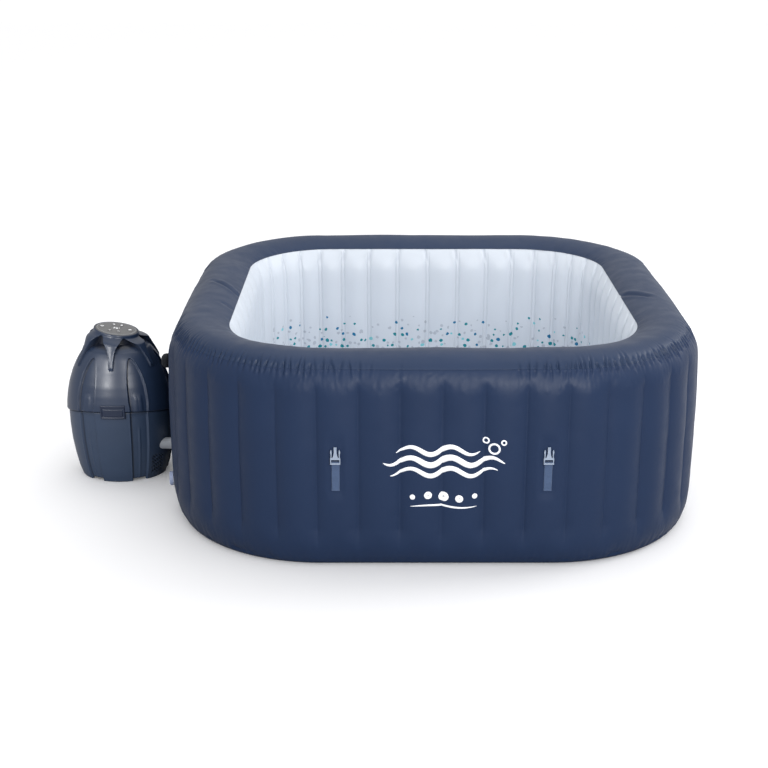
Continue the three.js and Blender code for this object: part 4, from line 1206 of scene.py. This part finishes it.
def build_badge():
    """A curved blank plate in a raised frame, on the front."""
    columns, rows = 61, 37
    x, z = np.meshgrid(np.linspace(-45.0, 44.0, columns), np.linspace(258.5, 309.5, rows))
    border = np.minimum(np.minimum(x + 45.0, 44.0 - x), np.minimum(z - 258.5, 309.5 - z))
    inner = np.minimum(np.minimum(x + 38.0, 37.0 - x), np.minimum(z - 266.0, 296.0 - z))
    out = 168.2 * np.sqrt(1 - (x / 199.0) ** 2) + 1.5 * ease(0, 1.8, border)
    out += 2.2 * ease(0.6, 2.6, inner) - 3.4 * ease(-2.4, -0.8, inner)
    front = np.stack([PUMP_X + x / 1000, PUMP_Y - out / 1000, z / 1000], -1)
    back_y = PUMP_Y - 0.156 + 0.004 * (x / 45) ** 2
    back = np.stack([PUMP_X + x / 1000, back_y, z / 1000], -1)
    n = columns * rows
    sheet = grid_faces(rows, columns, False, False)
    faces = sheet.tolist() + (sheet[:, ::-1] + n).tolist()
    number = np.arange(n).reshape(rows, columns)
    loop = [*number[0], *number[1:, -1], *number[-1, -2::-1], *number[-2:0:-1, 0]]
    for a, b in zip(loop, loop[1:] + loop[:1]):
        faces.append((b, a, n + a, n + b))
    # painted shade along the inner edge of the frame; the badge's material does not mix it in
    painted_shade = np.concatenate([0.8 * bell(inner + 0.2, 1.6).ravel(), np.zeros(n)])
    add_mesh("badge_blank", np.concatenate([front, back]).reshape(-1, 3), faces, BADGE,
             "pump_unit", "badge_plate", replaces="badge_plate", painted_shade=painted_shade)


build_top_casing()
build_base_casing()
build_badge()

# ------------------------------------------------------------------ control head
panel_low, panel_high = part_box("control_panel")
PANEL_R = (panel_high[1] - panel_low[1]) / 2 * 1000
HEAD_Z = (panel_low[2] + panel_high[2]) / 2 * 1000 + 2.0
TILT = math.radians(9)       # the panel falls towards +X
# arms: z, then half width in degrees
ARM_WIDTH = ([424, 427, 432, 447, 463, 487, 501, 515, 530, 541],
             [0.7, 2.9, 3.5, 3.7, 4.2, 6.0, 8.2, 12.0, 20, 31])
# arms: z, then radius of their outside
ARM_RADIUS = ([424, 429, 440, 463, 487, 505, 514, 521, 526, 530, 533, 537, 541],
              [150, 157.5, 156.5, 144.5, 130, 121, 116.5, 111.5, 105, 97, 89, 83.0, 81.5])
# neck between the arms: z, then radius
NECK_RADIUS = ([424, 494, 500, 510, 530, 541], [200, 104, 90, 80, 77, 80.5])
# lip round the panel: radius, height from HEAD_Z
PANEL_LIP = [(81.5, -5.0), (80.6, -2.2), (79.6, -0.6), (78.2, 0.1), (PANEL_R + 0.45, -0.5),
             (PANEL_R + 0.45, -6.2), (60, -14)]
# underside of the head: radius, z
HEAD_BACK = [(60, 520), (88, 500), (120, 460), (140, 428)]


def build_head():
    """Neck and six arms that run down over the dome."""
    z = np.concatenate([np.linspace(424, 500, 46), np.linspace(502, 541, 30)])[:, None]
    off = np.abs((DEG + 91 + 30) % 60 - 30)
    half = np.interp(z, *ARM_WIDTH)
    gap = np.minimum(dome_radius(np.minimum(z, 503)) - 9.5, np.interp(z, *NECK_RADIUS))
    arm = ease(1.5, -1.5, (off - half) * 2.2)
    crown = (1 - 0.012 * (off / np.maximum(half, 0.5)).clip(0, 1) ** 2
             + 0.010 * bell(off - half + 1.2, 1.0) * (z < 500))
    rows = on_pump(gap + (np.interp(z, *ARM_RADIUS) * crown - gap) * arm, z)
    # the neck and its lip follow the leaning panel
    rows[..., 2] -= (rows[..., 0] - PUMP_X) * math.tan(TILT) * ease(505, 541, z)
    turn = np.radians(DEG)
    rest = []
    for radius, height in PANEL_LIP:
        x, y = radius * np.cos(turn), radius * np.sin(turn)
        rest.append(np.stack([PUMP_X + x / 1000, PUMP_Y + y / 1000,
                              (HEAD_Z + height - x * math.tan(TILT)) / 1000], -1))
    rest += [on_pump(radius, height) for radius, height in HEAD_BACK]
    points = np.concatenate([rows, rest])
    # painted shade in the pockets between the arms, under the panel
    shade = 0.92 * (1 - arm) * ease(540.5, 534, z)
    painted_shade = np.concatenate([shade.ravel(), np.zeros(len(rest) * PUMP_COLUMNS)])
    add_mesh("head_neck_and_arms", points.reshape(-1, 3), grid_faces(*points.shape[:2]), CASE,
             "pump_unit", "control_head", replaces="control_head", painted_shade=painted_shade)


build_head()

# ------------------------------------------------------------------ marks on the panel
window_low, window_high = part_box("display_window")
FACE_Z = (window_low[2] + window_high[2]) / 2 * 1000 + 2.3 - 3 * math.sin(TILT)


def on_panel(x, y, height):
    c, s = math.cos(TILT), math.sin(TILT)
    return (PUMP_X + (x * c + height * s) / 1000, PUMP_Y + y / 1000,
            (FACE_Z - x * s + height * c) / 1000)


def add_mark(name, shapes, low, high, material=ICON, body="pump_unit"):
    """Flat shapes standing between two heights over the panel."""
    points, skin = [], []
    for outline, faces in shapes:
        first, n = len(points), len(outline)
        points += [on_panel(x, y, height) for height in (high, low) for x, y in outline]
        for face in faces:
            skin.append([first + i for i in face])
            skin.append([first + n + i for i in face[::-1]])
        skin += [(first + b, first + a, first + n + a, first + n + b)
                 for a, b in open_edges(faces)]
    add_mesh(name, np.array(points), skin, material, body, "display_window")


def bar(x0, y0, x1, y1, half_width):
    t = np.linspace(0, 1, 6)
    path = np.stack([x0 + (x1 - x0) * t, y0 + (y1 - y0) * t], -1)
    return ribbon(path, np.full(6, half_width), 3)


def arc(x, y, radius, start, end, half_width, steps=26):
    a = np.radians(np.linspace(start, end, steps))
    path = np.stack([x + radius * np.cos(a), y + radius * np.sin(a)], -1)
    return ribbon(path, np.full(steps, half_width), 3)


def digit(segments, x, y):
    """Seven-segment figure."""
    right, top = 5.2 / 2, 11.0 / 2
    ends = {"a": (-right, top, right, top), "b": (right, top, right, 0),
            "c": (right, 0, right, -top), "d": (-right, -top, right, -top),
            "e": (-right, -top, -right, 0), "f": (-right, 0, -right, top),
            "g": (-right, 0, right, 0)}
    bars = []
    for x0, y0, x1, y1 in (ends[segment] for segment in segments):
        dx, dy = (x1 - x0) * 0.14, (y1 - y0) * 0.14
        bars.append(bar(x + x0 + dx, y + y0 + dy, x + x1 - dx, y + y1 - dy, 0.85))
    return bars


def wavy_line(x):
    path = np.stack([x + 1.3 * np.sin(np.linspace(0, 2 * PI, 20)), np.linspace(34, 42, 20)], -1)
    return ribbon(path, np.full(20, 0.5), 3)


# icon, the button it rides on, its shapes
ICONS = [
    ("power", "power", [arc(-52, 0, 5.0, 115, 425, 0.7), bar(-52, 1.5, -52, 6.4, 0.7)]),
    ("bubble", "bubble", [arc(50 + x, y, r, 0, 340, 0.6, 18) for x, y, r in
                          ((-2.6, -2.4, 2.6), (2.6, 0.6, 2.0), (-1.6, 3.8, 1.5))]),
    ("heat", "heat", [wavy_line(-16 + x) for x in (-2.6, 0, 2.6)]),
    ("timer", "timer", [arc(12, 38, 3.6, 0, 345, 0.55, 22), bar(12, 38, 12, 40.8, 0.5),
                        bar(12, 38, 14.2, 38, 0.5)]),
    ("up", "temp_up", [bar(10.8, -35.6, 14, -31.6, 0.6), bar(14, -31.6, 17.2, -35.6, 0.6)]),
    ("down", "temp_down", [bar(-21.2, -32.4, -18, -36.4, 0.6),
                           bar(-18, -36.4, -14.8, -32.4, 0.6)]),
]
# the figures 38 and a degree sign
add_mark("reading", digit("abgcd", -8.5, 2) + digit("abcdefg", 1.5, 2)
         + [arc(9.0, 6.5, 1.5, 0, 330, 0.45, 16)], low=0.2, high=0.9)
for icon, button, shapes in ICONS:
    add_mark("icon_" + icon, shapes, low=1.2, high=2.75, body=button + "_button")
add_mark("panel_ring", [flat_ring(0, 0, PANEL_R - 6.5, 0.35, 120, 3)], low=0.3, high=1.0,
         material=GREY)

# ------------------------------------------------------------------ mains lead
LEAD_R = 0.0042
# course of the lead from the pump's axis, in millimetres: x, y, z
LEAD = np.array([
    [-70, 141, 42], [-71, 154, 39], [-74, 174, 20], [-80, 196, 7.5], [-104, 214, 5.2],
    [-160, 219, 5.2], [-186, 234, 5.2], [-160, 250, 5.2], [-20, 250, 5.2], [6, 266, 5.2],
    [-20, 282, 5.2], [-180, 282, 5.2], [-206, 298, 5.2], [-180, 314, 5.2], [-60, 314, 5.2],
    [-40, 326, 5.2], [-60, 342, 5.6], [-78, 350, 12], [-92, 352, 18]], float)


def smooth_course(stations):
    """Centripetal Catmull-Rom curve, eight steps to a span."""
    def between(p, q, start, end, t):
        return (end - t) / (end - start) * p + (t - start) / (end - start) * q

    ends = [2 * stations[0] - stations[1]], [2 * stations[-1] - stations[-2]]
    stations = np.vstack([ends[0], stations, ends[1]])
    points = []
    for i in range(len(stations) - 3):
        p = stations[i:i + 4]
        k = np.r_[0, np.cumsum(np.linalg.norm(np.diff(p, axis=0), axis=1) ** 0.5)]
        for t in np.linspace(k[1], k[2], 9)[:-1]:
            a = [between(p[j], p[j + 1], k[j], k[j + 1], t) for j in range(3)]
            b = [between(a[j], a[j + 1], k[j], k[j + 2], t) for j in range(2)]
            points.append(between(b[0], b[1], k[1], k[2], t))
    return np.array(points + [stations[-2]])


def tube(path, radius, around):
    """Round tube along a path, with its ends capped."""
    points = []
    side = np.cross(tangents(path)[0], (0, 0, 1.0))
    for place, along in zip(path, tangents(path)):
        side = side - along * side.dot(along)
        side /= np.linalg.norm(side)
        other = np.cross(along, side)
        for q in range(around):
            a = 2 * PI * q / around
            points.append(place + radius * (math.cos(a) * side + math.sin(a) * other))
    faces = grid_faces(len(path), around, False, True).tolist()
    faces.append(list(range(around))[::-1])
    faces.append(list(range(len(points) - around, len(points)))[::-1])
    return np.array(points), faces


course = smooth_course(LEAD)
course[:, 2] = np.maximum(course[:, 2], 4.4)       # keep it on the floor
add_mesh("mains_lead", *tube(course / 1000 + (PUMP_X, PUMP_Y, 0), LEAD_R, 12), RUBBER,
         "pump_unit", "power_lead", replaces="power_lead")

# ------------------------------------------------------------------ CAD pieces that stay
KEPT = {
    "ibeam_webs": SCRIM, "water_port_front": PORT, "water_port_rear": PORT, "air_port": GREY,
    "gasket_front": RUBBER, "gasket_rear": RUBBER, "debris_screen": GREY,
    "filter_housing": WHITE, "filter_cartridge": PAPER, "filter_cap": WHITE,
    "air_valve_body": VALVE, "air_valve_cap": VALVE, "drain_valve_body": GREY,
    "drain_valve_cap": DRAIN, "pump_base_plate": BLACK, "control_panel": PANEL,
    "display_window": GLASS, "circuit_board": BOARD, "circulation_pump": BLACK,
    "impeller": GREY, "heater_tube": PORT, "blower_housing": BLACK, "blower_fan": GREY,
    "union_nut_front": PORT, "union_nut_rear": PORT, "air_union_nut": BLACK,
    "breaker_plug": BLACK,
}
# bevel widths by part of the name; a piece takes every one that matches
BEVELS = {"buckle_": 0.0005, "union_nut": 0.0012, "air_union": 0.0008, "filter_cap": 0.002,
          "filter_housing": 0.001, "breaker_plug": 0.003, "air_valve": 0.0008,
          "drain_valve": 0.0008, "_button": 0.0005, "debris": 0.001, "water_port": 0.0006}
for name in frame["nodes"]:
    if name.startswith("buckle_"):
        KEPT[name] = BUCKLE
    if name.endswith("_button"):
        KEPT[name] = KEY
for name, material in KEPT.items():
    piece = frame["nodes"][name]
    if len(piece.material_slots) == 0:
        piece.data.materials.append(material)
    for material_slot in piece.material_slots:
        material_slot.material = material
    for part, width in BEVELS.items():
        if part in name:
            bevel = piece.modifiers.new("edge", "BEVEL")
            bevel.width = width
            bevel.segments = 2
            bevel.limit_method = "ANGLE"
            bevel.angle_limit = math.radians(32)

# ------------------------------------------------------------------ studio
scene = bpy.context.scene


def build_floor():
    """White floor that glows a little to the camera and is a dull grey to other rays."""
    mesh = bpy.data.meshes.new("studio_floor")
    corners = [(-14, -9), (14, -9), (14, 22), (-14, 22)]
    mesh.from_pydata([(x, y, -0.0004) for x, y in corners], [], [(0, 1, 2, 3)])
    floor = bpy.data.objects.new("studio_floor", mesh)
    scene.collection.objects.link(floor)
    material = bpy.data.materials.new("floor_white")
    material.use_nodes = True
    tree = material.node_tree
    seen = tree.nodes["Principled BSDF"]
    wire(tree, seen, {"Base Color": (0.92, 0.92, 0.935, 1), "Roughness": 0.6,
                      "Emission Color": (1, 1, 1, 1), "Emission Strength": 0.10,
                      "Specular IOR Level": 0.2})
    dull = add_node(tree, "BsdfDiffuse", {"Color": (0.66, 0.66, 0.68, 1)})
    camera_ray = add_node(tree, "LightPath").outputs["Is Camera Ray"]
    mixed = add_node(tree, "MixShader", {0: camera_ray, 1: dull.outputs[0],
                                         2: seen.outputs[0]})
    wire(tree, tree.nodes["Material Output"], {0: mixed.outputs[0]})
    mesh.materials.append(material)
    return floor


def build_world():
    """White sky, brightest up and to the right; even where the camera sees it."""
    world = bpy.data.worlds.new("studio")
    scene.world = world
    world.use_nodes = True
    tree = world.node_tree
    camera_ray = add_node(tree, "LightPath").outputs["Is Camera Ray"]
    direction = add_node(tree, "TexCoord").outputs["Generated"]
    facing = add_node(tree, "VectorMath", {0: direction, 1: (0.36, -0.20, 0.91)},
                      operation="DOT_PRODUCT").outputs["Value"]
    sky = map_range(tree, facing, to=(0.40, 1.14), source=(-1, 1))
    strength = add_node(tree, "Mix", {0: camera_ray, FLOAT_A: sky, FLOAT_B: 1.06},
                        data_type="FLOAT").outputs[0]
    wire(tree, tree.nodes["Background"], {"Color": (1, 1, 1, 1), "Strength": strength})


def add_light(name, place, aim, width, height, power, receivers=None):
    light = bpy.data.lights.new(name, "AREA")
    light.energy = power
    light.size = width
    light.shape = "RECTANGLE"
    light.size_y = height
    lamp = bpy.data.objects.new(name, light)
    lamp.location = place
    lamp.rotation_euler = (Vector(aim) - Vector(place)).to_track_quat("-Z", "Y").to_euler()
    scene.collection.objects.link(lamp)
    if receivers:
        lamp.light_linking.receiver_collection = receivers


def receiver_group(name, test):
    """Collection of the objects a light falls on."""
    group = bpy.data.collections.new(name)
    for obj in scene.objects:
        if test(obj):
            group.objects.link(obj)
    return group


floor = build_floor()
build_world()
PUMP_PARTS = ("casing_", "badge_", "head_", "union_nut", "air_union", "water_port",
              "drain_valve")
WELL_PARTS = ("inner_skin", "floor_skin", "air_jet")
on_pump_only = receiver_group("lit_by_pump_soft", lambda o: o.name.startswith(PUMP_PARTS))
not_floor = receiver_group("lit_by_front_soft", lambda o: o.type == "MESH" and o is not floor
                           and o.name != floor.name)
in_well_only = receiver_group("lit_by_well_soft", lambda o: o.name.startswith(WELL_PARTS))
add_light("key_top", place=(0.2, 0.4, 4.6), aim=(0, 0.2, 0.3), width=5.0, height=5.0, power=62)
add_light("front_soft", place=(0.9, -4.5, 2.1), aim=(0.1, -0.9, 0.4), width=1.0, height=1.6,
          power=112, receivers=not_floor)
add_light("right_soft", place=(3.6, 0.5, 2.7), aim=(-0.5, 0.1, 0.5), width=1.6, height=1.6,
          power=52)
add_light("pump_soft", place=(-2.54, -3.76, 1.72), aim=(-1.15, -0.2, 0.38), width=0.34,
          height=0.90, power=116, receivers=on_pump_only)
add_light("pump_side", place=(-3.7, -2.4, 1.9), aim=(-1.15, -0.2, 0.3), width=1.4, height=1.6,
          power=38, receivers=on_pump_only)
add_light("well_soft", place=(-2.7, 1.3, 2.4), aim=(0.7, 0.0, 0.45), width=1.2, height=1.2,
          power=23, receivers=in_well_only)

lens = bpy.data.cameras.new("camera")
lens.sensor_width = 36
lens.lens = 63.741891
lens.clip_end = 60
camera = bpy.data.objects.new("camera", lens)
camera.location = (-0.167221, -4.831289, 1.982544)
camera.rotation_euler = (math.radians(90 - 19.12068), 0, 0)
scene.collection.objects.link(camera)
scene.camera = camera
scene.view_settings.view_transform = "Standard"
